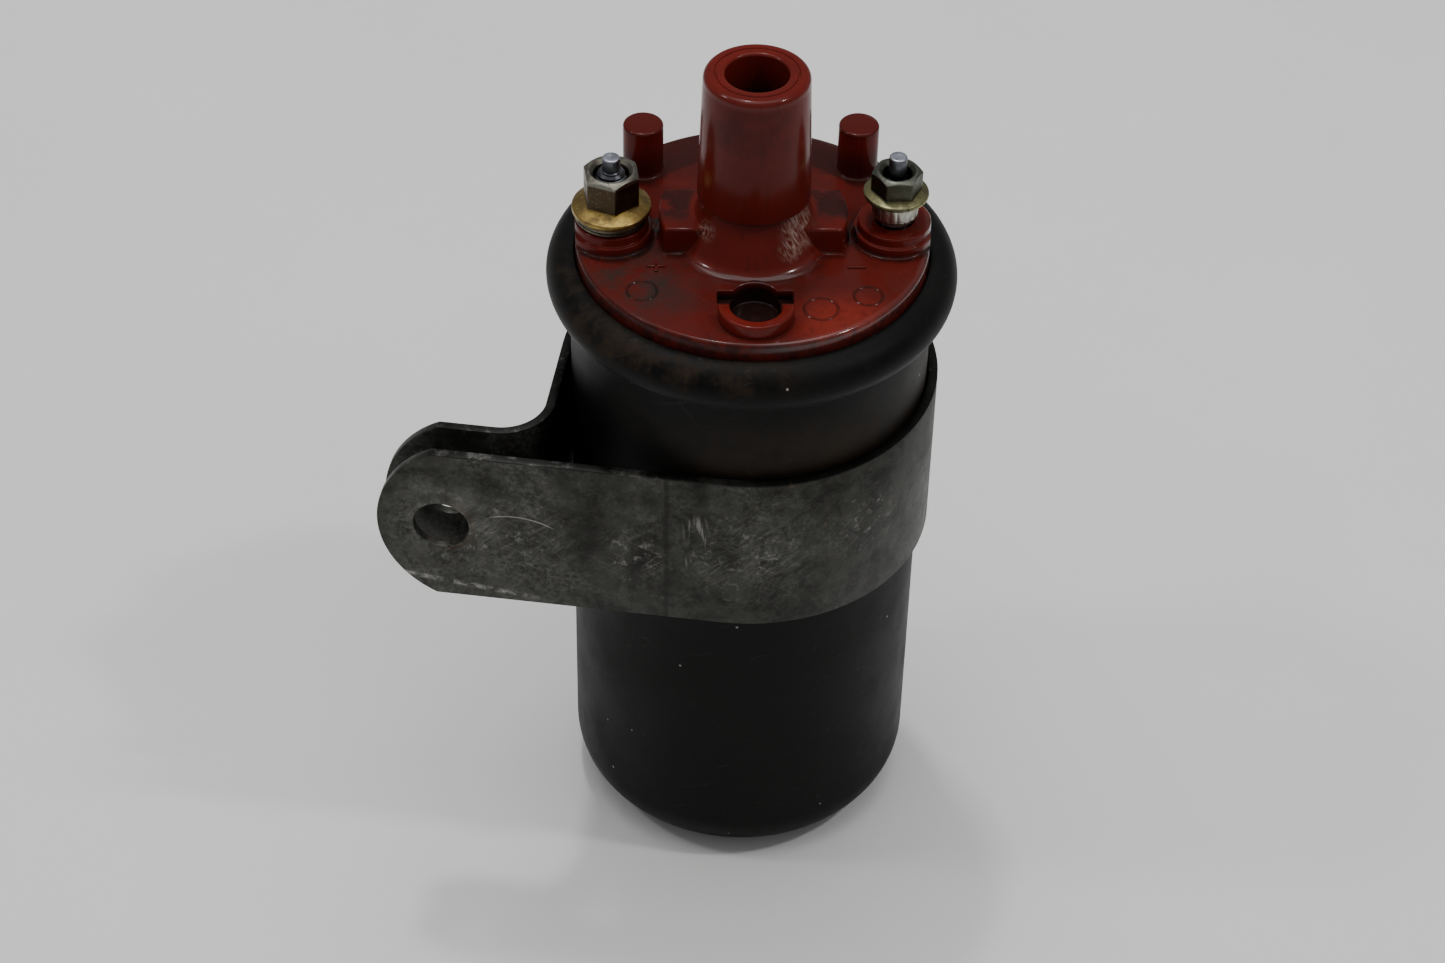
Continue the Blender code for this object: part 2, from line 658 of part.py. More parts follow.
# Pressboard ring that holds the pack down under the cap, with a hole for each lead.
def make_spacer(materials, frame):
    ring_radius = shield_inner - spacer_play
    ring_bore = core_tube_radius + spacer_play
    ring = tube("winding_spacer", ring_bore, ring_radius, spacer_low_z, spacer_top_z,
                materials["pressboard"], frame)
    low = spacer_low_z - cut_margin
    high = spacer_top_z + cut_margin
    outline = [(0, low), (lead_hole_radius, low), (lead_hole_radius, high), (0, high)]
    feet = {"plus": -primary_middle, "minus": primary_middle, "secondary": secondary_lead_foot}
    for name, offset in feet.items():
        hole = turned(name + "_lead_tool", outline, parent=frame, at=(offset, 0, 0), sides=tool_sides)
        combine(ring, hole, "DIFFERENCE", "MANIFOLD")


# Porcelain base: a foot ring on the can's floor, a plate under the windings and a cup for the core.
def make_base_insulator(materials):
    plate_radius = can_bore - plate_clearance
    cup_bore = core_tube_radius + fit_gap
    outline = [(0, plate_low_z), (foot_radius - foot_wall, plate_low_z), (foot_radius - foot_wall, foot_z)]
    outline += [(foot_radius, foot_z), (foot_radius, plate_low_z), (plate_radius, plate_low_z)]
    outline += [(plate_radius, plate_top_z), (cup_bore + cup_wall, plate_top_z)]
    outline += [(cup_bore + cup_wall, plate_top_z + cup_height), (cup_bore, plate_top_z + cup_height)]
    outline += [(cup_bore, plate_top_z), (0, plate_top_z)]
    return turned("base_insulator", outline, materials["porcelain"], sides=inner_sides)


# A lead rises straight through the spacer, then eases across to the head of its stud.
def lead_route(foot_x, head_x, foot_height):
    bend_z = spacer_top_z + lead_radius
    points = [(foot_x, 0, foot_height)]
    for index in range(lead_points + 1):
        share = index / lead_points
        ease = share * share * (3 - 2 * share)
        points.append((foot_x + (head_x - foot_x) * ease, 0, bend_z + (lead_head_z - bend_z) * share))
    return points


def make_leads(materials, frame):
    foot = pack_top_z + fit_gap
    secondary_foot = pack_top_z - secondary_margin + fit_gap
    copper = materials["copper"]
    minus_head = stud_offset + minus_lead_shift
    secondary_head = stud_offset - secondary_lead_shift
    wire("lead_positive", lead_route(-primary_middle, -stud_offset, foot), lead_radius, copper, frame)
    wire("lead_negative", lead_route(primary_middle, minus_head, foot), lead_radius, copper, frame)
    wire("lead_secondary", lead_route(secondary_lead_foot, secondary_head, secondary_foot),
         lead_radius, copper, frame)


# Both faces of the strap's sheet: front ear, round the can, back along its left side, rear ear.
def strap_face(shift):
    ring = strap_line + shift
    end_x = ear_tip_x - cut_margin
    rear_y = -(strap_inner - ear_gap - strap_thickness / 2)
    points = [(end_x, -ring)]
    steps = big_sides * 3 // 4
    for index in range(steps + 1):
        angle = math.radians(-90 + 270 * index / steps)
        points.append((ring * math.cos(angle), ring * math.sin(angle)))
    points += arc(ear_bend_x, rear_y + ear_bend_line, ear_bend_line - shift, 0, -90)
    points.append((end_x, rear_y + shift))
    return points


# What is cut away outside the ears' rounded ends.
def make_end_tool():
    half = strap_width / 2
    end_radius = (half ** 2 + ear_end_rise ** 2) / (2 * ear_end_rise)
    spread = 2 * math.degrees(math.atan2(ear_end_rise, half))
    corner_x = ear_tip_x + ear_end_rise
    beyond_x = ear_tip_x - 2 * cut_margin
    beyond_z = half + cut_margin
    end = arc(ear_tip_x + end_radius, 0, end_radius, 180 + spread, 180 - spread)
    outline = [(corner_x, beyond_z), (beyond_x, beyond_z), (beyond_x, -beyond_z), (corner_x, -beyond_z)]
    outline += end
    tool = raised("end_tool", outline, 0, 2 * can_radius, at=(0, 0, strap_height))
    tool.rotation_euler = (math.radians(90), 0, 0)
    return tool


# The strap's own origin is on the can's axis, along which it slides.
def make_strap(materials):
    half = strap_width / 2
    outline = strap_face(strap_thickness / 2) + strap_face(-strap_thickness / 2)[::-1]
    strap = raised("clamp_strap", outline, -half, half, materials["strap_steel"], at=(0, 0, strap_height))
    combine(strap, make_end_tool(), "DIFFERENCE")
    reach = 2 * can_radius
    between_ears = strap_inner - ear_gap / 2
    hole_outline = [(0, 0), (ear_thread_radius, 0), (ear_thread_radius, between_ears)]
    hole_outline += [(ear_hole_radius, between_ears), (ear_hole_radius, reach), (0, reach)]
    hole = turned("ear_hole_tool", hole_outline, at=(ear_hole_x, 0, strap_height), sides=small_sides)
    hole.rotation_euler = (math.radians(90), 0, 0)
    combine(strap, hole, "DIFFERENCE")
    return strap


def make_coil():
    clear_scene()
    materials = make_materials()
    frame = bpy.data.objects.new("cap_axis", None)
    bpy.context.scene.collection.objects.link(frame)
    frame.rotation_euler = (0, 0, math.radians(cap_turn))
    make_can(materials)
    make_gasket(materials)
    make_cap(materials, frame)
    make_positive_terminal(materials, frame)
    make_negative_terminal(materials, frame)
    make_contact(materials)
    make_contact_spring(materials)
    make_core(materials)
    make_windings(materials)
    make_spacer(materials, frame)
    make_base_insulator(materials)
    make_leads(materials, frame)
    make_strap(materials)
    bpy.context.view_layer.update()


make_coil()
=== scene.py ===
import json
import math

import bmesh
import bpy
from mathutils import Matrix, Vector


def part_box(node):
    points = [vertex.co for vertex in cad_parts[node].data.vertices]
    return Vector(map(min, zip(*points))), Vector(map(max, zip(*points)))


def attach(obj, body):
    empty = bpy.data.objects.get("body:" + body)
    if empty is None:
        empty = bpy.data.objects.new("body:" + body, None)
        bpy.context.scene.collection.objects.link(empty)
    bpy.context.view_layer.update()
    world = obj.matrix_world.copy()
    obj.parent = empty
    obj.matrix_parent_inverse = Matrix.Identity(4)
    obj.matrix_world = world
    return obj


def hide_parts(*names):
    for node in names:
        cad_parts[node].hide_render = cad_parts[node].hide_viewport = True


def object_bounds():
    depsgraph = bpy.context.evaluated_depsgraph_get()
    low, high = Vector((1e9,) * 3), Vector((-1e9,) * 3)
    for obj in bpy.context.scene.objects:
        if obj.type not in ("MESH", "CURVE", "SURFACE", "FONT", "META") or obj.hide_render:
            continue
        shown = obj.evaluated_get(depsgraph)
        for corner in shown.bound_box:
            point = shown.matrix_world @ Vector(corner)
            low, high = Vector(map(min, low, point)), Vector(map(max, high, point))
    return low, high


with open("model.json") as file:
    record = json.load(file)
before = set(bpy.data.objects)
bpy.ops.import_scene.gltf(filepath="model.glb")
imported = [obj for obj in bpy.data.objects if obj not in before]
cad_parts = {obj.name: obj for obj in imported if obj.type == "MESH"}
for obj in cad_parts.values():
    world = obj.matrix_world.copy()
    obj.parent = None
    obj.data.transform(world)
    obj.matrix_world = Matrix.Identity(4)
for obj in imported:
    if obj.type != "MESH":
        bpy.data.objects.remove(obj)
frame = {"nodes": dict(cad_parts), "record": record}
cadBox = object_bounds()
mm = 0.001
print("frame loaded,", len(frame["nodes"]), "nodes")


# places that the frame gives, in millimetres

def nodeBox(node):
    low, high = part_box(node)
    return low / mm, high / mm


canLow, canHigh = nodeBox("can")
capLow, capHigh = nodeBox("cap")
plusLow, plusHigh = nodeBox("stud_positive")
minusLow, minusHigh = nodeBox("stud_negative")
strapLow, strapHigh = nodeBox("clamp_strap")
plusAxis = (plusLow + plusHigh) / 2
minusAxis = (minusLow + minusHigh) / 2
capTurn = math.degrees(math.atan2(minusAxis.y - plusAxis.y, minusAxis.x - plusAxis.x))
studOffset = (minusAxis.xy - plusAxis.xy).length / 2
beadTop = canHigh.z
discRise = 2.7                       # the disc's face above the bead's top
discZ = beadTop + discRise


# small helpers for the shapes

def arcPoints(cx, cy, radius, start, end, steps):
    angles = [math.radians(start + (end - start) * index / steps) for index in range(steps + 1)]
    return [(cx + radius * math.cos(angle), cy + radius * math.sin(angle)) for angle in angles]


# an outline of (radius, height) points, spun round an upright axis
def turned(outline, steps=128, low=0.0):
    builder = bmesh.new()
    verts = [builder.verts.new((radius * mm, 0, (low + height) * mm)) for radius, height in outline]
    edges = [builder.edges.new(pair) for pair in zip(verts, verts[1:])]
    if outline[0][0] > 0:
        edges.append(builder.edges.new((verts[-1], verts[0])))
    bmesh.ops.spin(builder, geom=verts + edges, cent=(0, 0, 0), axis=(0, 0, 1),
                   angle=math.tau, steps=steps, use_merge=True)
    bmesh.ops.remove_doubles(builder, verts=builder.verts, dist=1e-6)
    bmesh.ops.recalc_face_normals(builder, faces=builder.faces)
    return builder


# quarter-round steps for grown(): a foot runs from flat to upright, an edge from upright to flat
def footSteps(radius, count=6):
    turns = [math.pi / 2 * index / count for index in range(count + 1)]
    return [(radius * (math.sin(b) - math.sin(a)), radius * (math.cos(a) - math.cos(b)))
            for a, b in zip(turns, turns[1:])]


def edgeSteps(radius, count=5):
    turns = [math.pi / 2 * index / count for index in range(count + 1)]
    return [(radius * (math.cos(a) - math.cos(b)), radius * (math.sin(b) - math.sin(a)))
            for a, b in zip(turns, turns[1:])]


# a flat outline grown up (or down) by (inset, rise) steps
def grown(outline, low, steps, facing=1):
    builder = bmesh.new()
    face = builder.faces.new([builder.verts.new((x * mm, y * mm, low * mm)) for x, y in outline])
    face.normal_update()
    if face.normal.z * facing < 0:
        face.normal_flip()
    for inward, rise in steps:
        bmesh.ops.inset_individual(builder, faces=[face], thickness=inward * mm, depth=rise * mm,
                                   use_even_offset=True)
    bmesh.ops.holes_fill(builder, edges=[edge for edge in builder.edges if edge.is_boundary])
    bmesh.ops.recalc_face_normals(builder, faces=builder.faces)
    return builder


def moved(builder, at=(0, 0, 0), turn=0.0):
    bmesh.ops.rotate(builder, verts=builder.verts, cent=(0, 0, 0),
                     matrix=Matrix.Rotation(math.radians(turn), 3, "Z"))
    bmesh.ops.translate(builder, verts=builder.verts, vec=Vector(at) * mm)
    return builder


def joined(*builders):
    whole = builders[0]
    for other in builders[1:]:
        mesh = bpy.data.meshes.new("joining")
        other.to_mesh(mesh)
        other.free()
        whole.from_mesh(mesh)
        bpy.data.meshes.remove(mesh)
    return whole


def carved(base, tool, operation="DIFFERENCE"):
    shapes = []
    for builder in (base, tool):
        mesh = bpy.data.meshes.new("carving")
        builder.to_mesh(mesh)
        builder.free()
        shapes.append(bpy.data.objects.new("carving", mesh))
        bpy.context.scene.collection.objects.link(shapes[-1])
    modifier = shapes[0].modifiers.new("carve", "BOOLEAN")
    modifier.operation = operation
    modifier.object = shapes[1]
    modifier.solver = "EXACT"
    graph = bpy.context.evaluated_depsgraph_get()
    mesh = bpy.data.meshes.new_from_object(shapes[0].evaluated_get(graph))
    result = bmesh.new()
    result.from_mesh(mesh)
    bpy.data.meshes.remove(mesh)
    for shape in shapes:
        bpy.data.objects.remove(shape, do_unlink=True)
    return result


def softened(builder, width, sharpest=35, segments=2):
    edges = [edge for edge in builder.edges
             if len(edge.link_faces) == 2 and edge.calc_face_angle() > math.radians(sharpest)]
    bmesh.ops.bevel(builder, geom=edges, offset=width * mm, offset_type="OFFSET", segments=segments,
                    profile=0.5, affect="EDGES", clamp_overlap=True, material=-1)
    return builder


def finishPiece(name, builder, finish, body, nodes, sharpest=32):
    bmesh.ops.recalc_face_normals(builder, faces=builder.faces)
    mesh = bpy.data.meshes.new(name)
    builder.to_mesh(mesh)
    builder.free()
    mesh.materials.append(finish)
    mesh.shade_smooth()
    mesh.set_sharp_from_angle(angle=math.radians(sharpest))
    piece = bpy.data.objects.new(name, mesh)
    bpy.context.scene.collection.objects.link(piece)
    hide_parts(*nodes)
    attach(piece, body)
    return piece


# small helpers for the finishes

class Flow:                          # one value on its way through a finish
    def __init__(self, finish, socket):
        self.finish = finish
        self.socket = socket

    def __add__(self, other):
        return self.finish.maths("ADD", self, other)

    def __sub__(self, other):
        return self.finish.maths("SUBTRACT", self, other)

    def __rsub__(self, other):
        return self.finish.maths("SUBTRACT", other, self)

    def __mul__(self, other):
        return self.finish.maths("MULTIPLY", self, other)

    def __truediv__(self, other):
        return self.finish.maths("DIVIDE", self, other)

    __radd__ = __add__
    __rmul__ = __mul__


class Finish:                        # a procedural material that tints its first colour, layer by layer
    def __init__(self, name, look, first, fixed=None):
        self.look = look
        self.colour = look[first]
        self.material = bpy.data.materials.new(name)
        self.material.use_nodes = True
        self.tree = self.material.node_tree
        self.shader = self.tree.nodes["Principled BSDF"]
        for key, value in (fixed or {}).items():
            self.feed(self.shader.inputs[key], value)
        metres = self.add("TexCoord", output=3)
        self.place = self.add("VectorMath", {"operation": "SCALE"}, {0: metres, "Scale": 1 / mm})
        self.x, self.y, self.z = [self.add("SeparateXYZ", None, {0: self.place}, axis) for axis in range(3)]

    def feed(self, socket, value):
        if isinstance(value, Flow):
            self.tree.links.new(value.socket, socket)
        elif socket.type == "RGBA":
            socket.default_value = (*value, 1.0)
        else:
            socket.default_value = value

    def add(self, kind, settings=None, values=None, output=0):
        node = self.tree.nodes.new("ShaderNode" + kind)
        for key, value in (settings or {}).items():
            setattr(node, key, value)
        for key, value in (values or {}).items():
            self.feed(node.inputs[key], value)
        return Flow(self, node.outputs[output])

    def maths(self, operation, first, second=0.0):
        return self.add("Math", {"operation": operation}, {0: first, 1: second})

    # a layer of one of the look's colours over everything so far
    def tint(self, share, name):
        values = {0: share, 6: self.colour, 7: self.look[name]}
        self.colour = self.add("Mix", {"data_type": "RGBA"}, values, 2)

    # 0 below low and 1 above high, or the other way round where low is the larger
    def between(self, value, low, high):
        return self.add("MapRange", {"interpolation_type": "SMOOTHSTEP"}, {0: value, 1: low, 2: high})

    def stretched(self, scale, turn=(0, 0, 0)):
        angles = tuple(math.radians(angle) for angle in turn)
        turnedPlace = self.add("Mapping", None, {"Vector": self.place, "Rotation": angles})
        return self.add("Mapping", None, {"Vector": turnedPlace, "Scale": scale})

    def noise(self, scale, detail=4.0, rough=0.55, place=None, warp=0.0):
        return self.add("TexNoise", None, {"Vector": place or self.place, "Scale": scale, "Detail": detail,
                                           "Roughness": rough, "Distortion": warp})

    def cells(self, scale, feature="DISTANCE_TO_EDGE", place=None):
        return self.add("TexVoronoi", {"feature": feature}, {"Vector": place or self.place, "Scale": scale})

    def away(self, point):
        return self.add("VectorMath", {"operation": "DISTANCE"}, {0: self.place, 1: point}, 1)

    def fromAxis(self, x=0.0, y=0.0):
        across = self.x - x
        along = self.y - y
        return self.maths("SQRT", across * across + along * along)

    # x and y in a frame turned about Z
    def turnedBy(self, turn):
        angle = math.radians(turn)
        return (self.x * math.cos(angle) + self.y * math.sin(angle),
                self.y * math.cos(angle) - self.x * math.sin(angle))

    # noise with its low parts cut to 0 and its high parts to 1
    def cloud(self, low, high, *noise):
        return self.between(self.noise(*noise), low, high)

    # 1 at a point, falling to 0 at the reach
    def patch(self, point, reach, core=0.0):
        return self.between(self.away(point), reach, core)

    # 1 where the value is within half a width of the line
    def line(self, value, at, width):
        return self.between(self.maths("ABSOLUTE", value - at), width, width * 0.2)

    def bumps(self, height, strength, distance):
        return self.add("Bump", None, {"Height": height, "Strength": strength, "Distance": distance * mm})

    def scratches(self, turn, scale, low, high):
        return self.between(self.noise(1.0, 3.0, 0.5, self.stretched(scale, turn)), low, high)

    def done(self, **wires):
        names = {"rough": "Roughness", "metal": "Metallic", "normal": "Normal", "coat": "Coat Weight"}
        self.feed(self.shader.inputs["Base Color"], self.colour)
        for key, value in wires.items():
            self.feed(self.shader.inputs[names[key]], value)
        return self.material


# finishes

canLook = {
    "black": (0.0040, 0.0040, 0.0041),
    "faded": (0.0085, 0.0080, 0.0074),
    "brown": (0.040, 0.026, 0.016),
    "dust": (0.10, 0.095, 0.088),
    "speck": (0.42, 0.42, 0.40),
    "rough": 0.45,
}


def makeCanPaint(look):
    paint = Finish("canPaint", look, "black", {"Specular IOR Level": 0.09})
    broad = paint.cloud(0.35, 0.7, 0.045, 5.0, 0.6)
    fine = paint.noise(0.9, 8.0, 0.65)
    front = paint.between(paint.y, 4.0, -18.0)
    paint.tint(broad * 0.7, "faded")
    # dusty brown on the front of the bead, and below its throat
    crest = paint.line(paint.z, beadTop - 1.6, 3.4) * paint.between(paint.x, 17.0, -3.0) * front
    crest = crest * paint.cloud(0.40, 0.66, 0.22, 7.0, 0.66)
    ledge = paint.line(paint.z, beadTop - 8.4, 1.3) * front * paint.cloud(0.44, 0.62, 0.30, 6.0, 0.6)
    throat = paint.line(paint.z, beadTop - 16.0, 7.0) * paint.cloud(0.42, 0.68, 0.12, 5.0)
    warm = paint.line(paint.z, strapHigh.z - 2.0, 15.0) * paint.between(paint.x, -16.0, 2.0)
    paint.tint(crest * 0.62 + ledge * 0.45, "brown")
    paint.tint(throat * 0.16 + warm * (broad * 0.5 + 0.15), "brown")
    lines = paint.scratches((0, 25, 10), (0.05, 0.7, 1.7), 0.66, 0.74)
    scuffs = paint.scratches((10, -50, 0), (0.07, 0.9, 2.1), 0.69, 0.76)
    grit = paint.cloud(0.68, 0.76, 1.6, 6.0, 0.7)
    paint.tint(lines * 0.10 + scuffs * 0.10 + grit * 0.16 * fine, "dust")
    specks = paint.between(paint.cells(0.16, "F1"), 0.045, 0.02)
    paint.tint(specks * 0.7, "speck")
    film = paint.cloud(0.45, 0.75, 0.10, 7.0, 0.6)
    paint.tint(film * 0.03, "dust")
    rough = broad * 0.14 + fine * 0.12 + film * 0.08 + crest * 0.2 + look["rough"] - 0.08
    grain = paint.noise(2.2, 5.0, 0.6) * 0.35 + paint.noise(0.11, 3.0) * 1.0 - lines * 0.5 + crest * 0.4
    return paint.done(rough=rough, normal=paint.bumps(grain, 0.25, 0.12))


markShape = {
    "signHeight": 0.28,
    "signLength": 2.9,
    "signWidth": 0.55,
    "plus": (-15.0, -8.4),
    "minus": (15.8, -8.6),
    "rings": [(-17.2, -14.4, 2.3), (9.9, -18.7, 2.6), (17.2, -15.6, 2.2)],
}
mouldingLook = {
    "red": (0.142, 0.0125, 0.0080),
    "deep": (0.062, 0.0085, 0.0070),
    "bright": (0.27, 0.024, 0.013),
    "dust": (0.030, 0.0200, 0.0165),
    "smudge": (0.015, 0.0115, 0.0110),
    "grimeAndShade": (0.009, 0.0065, 0.0055),
    "residue": (0.50, 0.40, 0.33),
    "rough": 0.22,
}


def makeMoulding(look):
    cap = Finish("capMoulding", look, "red", {"Specular IOR Level": 0.08, "Coat Roughness": 0.12})
    radius = cap.fromAxis()
    across, along = cap.turnedBy(capTurn)

    # from 0 at one height to 1 at another, both above the disc
    def level(low, high):
        return cap.between(cap.z, discZ + low, discZ + high)

    fine = cap.noise(0.8, 8.0, 0.68)
    streak = cap.noise(1.0, 4.0, 0.5, cap.stretched((0.9, 0.9, 0.05)))
    onDisc = level(0.7, 0.2)
    cap.tint(cap.cloud(0.35, 0.68, 0.07, 4.0) * 0.45, "deep")
    cap.tint(cap.between(streak, 0.56, 0.72) * 0.45, "deep")
    cap.tint(onDisc * 0.45, "deep")
    # stains down the tower's front, heaviest near its mouth, and painted shade on the tower's front from the
    # neck up
    frontFace = cap.between(cap.y, -3.0, -7.5)
    high = level(14.0, 26.0) * level(29.4, 27.5)
    stain = high * frontFace * cap.cloud(0.36, 0.62, 0.16, 6.0, 0.65)
    shade = level(5.0, 9.0) * frontFace
    cap.tint(stain * 0.50, "grimeAndShade")
    cap.tint(shade * 0.30, "deep")
    # dry dust on the disc, thickest at the left front, and a painted highlight: brighter red at the right
    # front edge
    left = cap.patch((-16.0, -14.0, discZ), 13.0, 3.0)
    dust = onDisc * (left * 0.9 + cap.between(cap.y, 4.0, -14.0) * 0.38)
    dust = dust * cap.cloud(0.30, 0.70, 0.20, 8.0, 0.68)
    cap.tint(dust * 0.85, "dust")
    glow = level(-2.0, -0.5) * cap.patch((17.0, -21.0, discZ), 11.0, 3.0)
    glow = glow * cap.between(fine, 0.20, 0.56) * level(0.7, 0.2)
    cap.tint(glow * 0.55, "bright")
    # painted shade in the corner at the front of the neck's foot and round the bosses' feet, and dirt with
    # painted shade along the disc's edge
    corner = cap.line(radius, 12.6, 1.5) * onDisc * cap.between(cap.y, 2.0, -6.0)
    rings = [cap.line(cap.fromAxis(axis.x, axis.y), 6.7, 1.1) for axis in (plusAxis, minusAxis)]
    rim = cap.between(radius, 26.9, 27.7) * cap.cloud(0.40, 0.60, 0.5, 5.0)
    shadeAndDirt = corner * 0.25 + (rings[0] + rings[1]) * onDisc * 0.7 + rim * 0.7
    cap.tint(shadeAndDirt * cap.between(fine, 0.25, 0.6), "grimeAndShade")
    # dark oil in the gap by the right boss, and painted shade in the gap by the left boss
    oilAndShade = cap.patch((-15.3, -0.4, discZ + 0.6), 3.4, 1.2)
    oilAndShade = oilAndShade + cap.patch((15.6, 1.2, discZ + 0.3), 2.1, 1.1)
    oilAndShade = oilAndShade * cap.cloud(0.30, 0.50, 0.6, 4.0)
    cap.tint(oilAndShade * 0.92, "grimeAndShade")
    # painted shade on the neck just under the rim's overhang
    rimShade = cap.line(cap.z, discZ + 7.75, 0.5) * cap.between(radius, 8.9, 8.5)
    cap.tint(rimShade * 0.8, "grimeAndShade")
    # painted shade inside the pocket and the notch, below the disc's face
    recessShade = level(-0.2, -1.4) * cap.between(radius, 24.5, 23.5)
    cap.tint(recessShade * 0.88, "grimeAndShade")
    # painted shade on the posts' lower half and the disc round their feet
    postFootShade = level(6.5, 2.0) * cap.between(radius, 19.5, 20.5) * cap.between(along, 12.0, 13.0)
    cap.tint(postFootShade * 0.55, "grimeAndShade")
    postTop = level(7.6, 8.2) * cap.between(radius, 19.5, 20.5)
    cap.tint(postTop * 0.7, "deep")
    # dirt settled in the moulded rings
    for ringX, ringY, ringRadius in markShape["rings"]:
        aside, beside = across - ringX, along - ringY
        ringed = cap.maths("SQRT", aside * aside + beside * beside)
        traced = cap.line(ringed, ringRadius, 0.40) * onDisc * cap.between(fine, 0.30, 0.55)
        cap.tint(traced * 0.55, "grimeAndShade")
    # painted shade deep inside the socket
    mouth = cap.between(radius, 5.2, 4.9) * cap.between(cap.z, capHigh.z - 1.5, capHigh.z - 9.0)
    cap.tint(mouth * 0.7, "grimeAndShade")
    # grey smudges over the blocks and behind the tower
    ribTop = level(3.8, 4.5) * level(5.4, 4.9)
    aside = cap.maths("ABSOLUTE", along)
    ribTop = ribTop * cap.between(aside, 6.6, 5.8) * cap.between(radius, 9.4, 10.4)
    behind = onDisc * cap.between(cap.y, 1.0, 7.0)
    smudge = ribTop * cap.between(along, -4.6, -1.0) + behind * 0.35
    smudge = smudge * cap.cloud(0.34, 0.56, 0.22, 6.0, 0.65)
    cap.tint(smudge * 0.75, "smudge")
    # dried residue smeared down the right of the neck, with a clear spot in it
    fibres = cap.noise(1.0, 6.0, 0.72, cap.stretched((2.4, 2.4, 0.42), (0, 24, 0)), 0.6)
    web = cap.between(cap.cells(1.15, place=cap.stretched((1.0, 1.0, 0.34), (0, 24, 0))), 0.13, 0.02)
    near = cap.patch((7.0, -3.6, discZ + 5.2), 4.9, 1.8) + cap.patch((6.0, -6.4, discZ + 2.6), 2.9, 1.0)
    near = near * level(8.1, 7.5) * cap.between(radius, 13.0, 11.5)
    beside = level(4.6, 5.1) + cap.between(along, -5.1, -5.5)
    near = near * cap.maths("MINIMUM", beside, 1.0)
    clear = cap.between(cap.away((7.0, -5.6, discZ + 2.4)), 0.8, 1.2)
    residue = near * clear * (cap.between(fibres, 0.42, 0.66) * 0.55 + web * 0.18)
    ghost = cap.patch((-5.8, -5.8, discZ + 4.2), 2.6, 0.6) * cap.between(fibres, 0.44, 0.60) * 0.45
    cap.tint(residue + ghost, "residue")
    chips = cap.cloud(0.70, 0.78, 1.3, 6.0, 0.7) * (onDisc * 0.5 + 0.2)
    cap.tint(chips * 0.4, "residue")
    lines = cap.scratches((0, 0, 30), (0.08, 1.6, 0.5), 0.68, 0.76)
    cap.tint(lines * 0.18, "bright")
    rough = fine * 0.10 + dust * 0.30 + smudge * 0.35 + stain * 0.08 + residue * 0.3 - oilAndShade * 0.12
    rough = rough + look["rough"] - 0.04
    grain = cap.noise(0.35, 4.0) * 0.8 + fine * 0.25 + residue * 0.8 - lines * 0.4 + streak * 0.2
    # a cleaner, glossier skin on the disc's right edge, the neck's foot, the mouth's lip, and the oil and
    # painted shade by the bosses
    edgeSkin = cap.between(radius, 26.4, 26.9) * level(-1.6, -1.0) * cap.between(cap.x, 1.0, 9.0)
    footSkin = cap.line(radius, 12.4, 1.8) * level(2.6, 1.6) * level(-0.3, -0.1)
    lipSkin = cap.between(cap.z, capHigh.z - 1.7, capHigh.z - 1.1)
    lipSkin = lipSkin * cap.between(cap.z, capHigh.z - 0.05, capHigh.z - 0.2)
    skin = edgeSkin * 0.85 + footSkin * 0.55 + lipSkin * 0.2 + oilAndShade * 0.7
    coat = cap.maths("MINIMUM", skin - dust * 0.13 - smudge * 0.13 + 0.15, 1.0)
    return cap.done(rough=rough, coat=cap.maths("MAXIMUM", coat, 0.0),
                    normal=cap.bumps(grain, 0.22, 0.10))


strapShape = {
    "thickness": 1.5,
    "earGap": 5.0,
    "bend": 7.0,
    "hole": 4.5,
    "threadHole": 3.3,
    "holeMargin": 10.3,
    "endRise": 9.1,
    "edge": 0.22,
    "ringSteps": 108,
}
strapLook = {
    "dull": (0.041, 0.041, 0.0345),
    "dark": (0.0155, 0.015, 0.0125),
    "pale": (0.125, 0.125, 0.110),
    "scuff": (0.34, 0.335, 0.31),
    "rust": (0.070, 0.040, 0.020),
    "shadow": (0.010, 0.010, 0.009),
    "rough": 0.44,
}


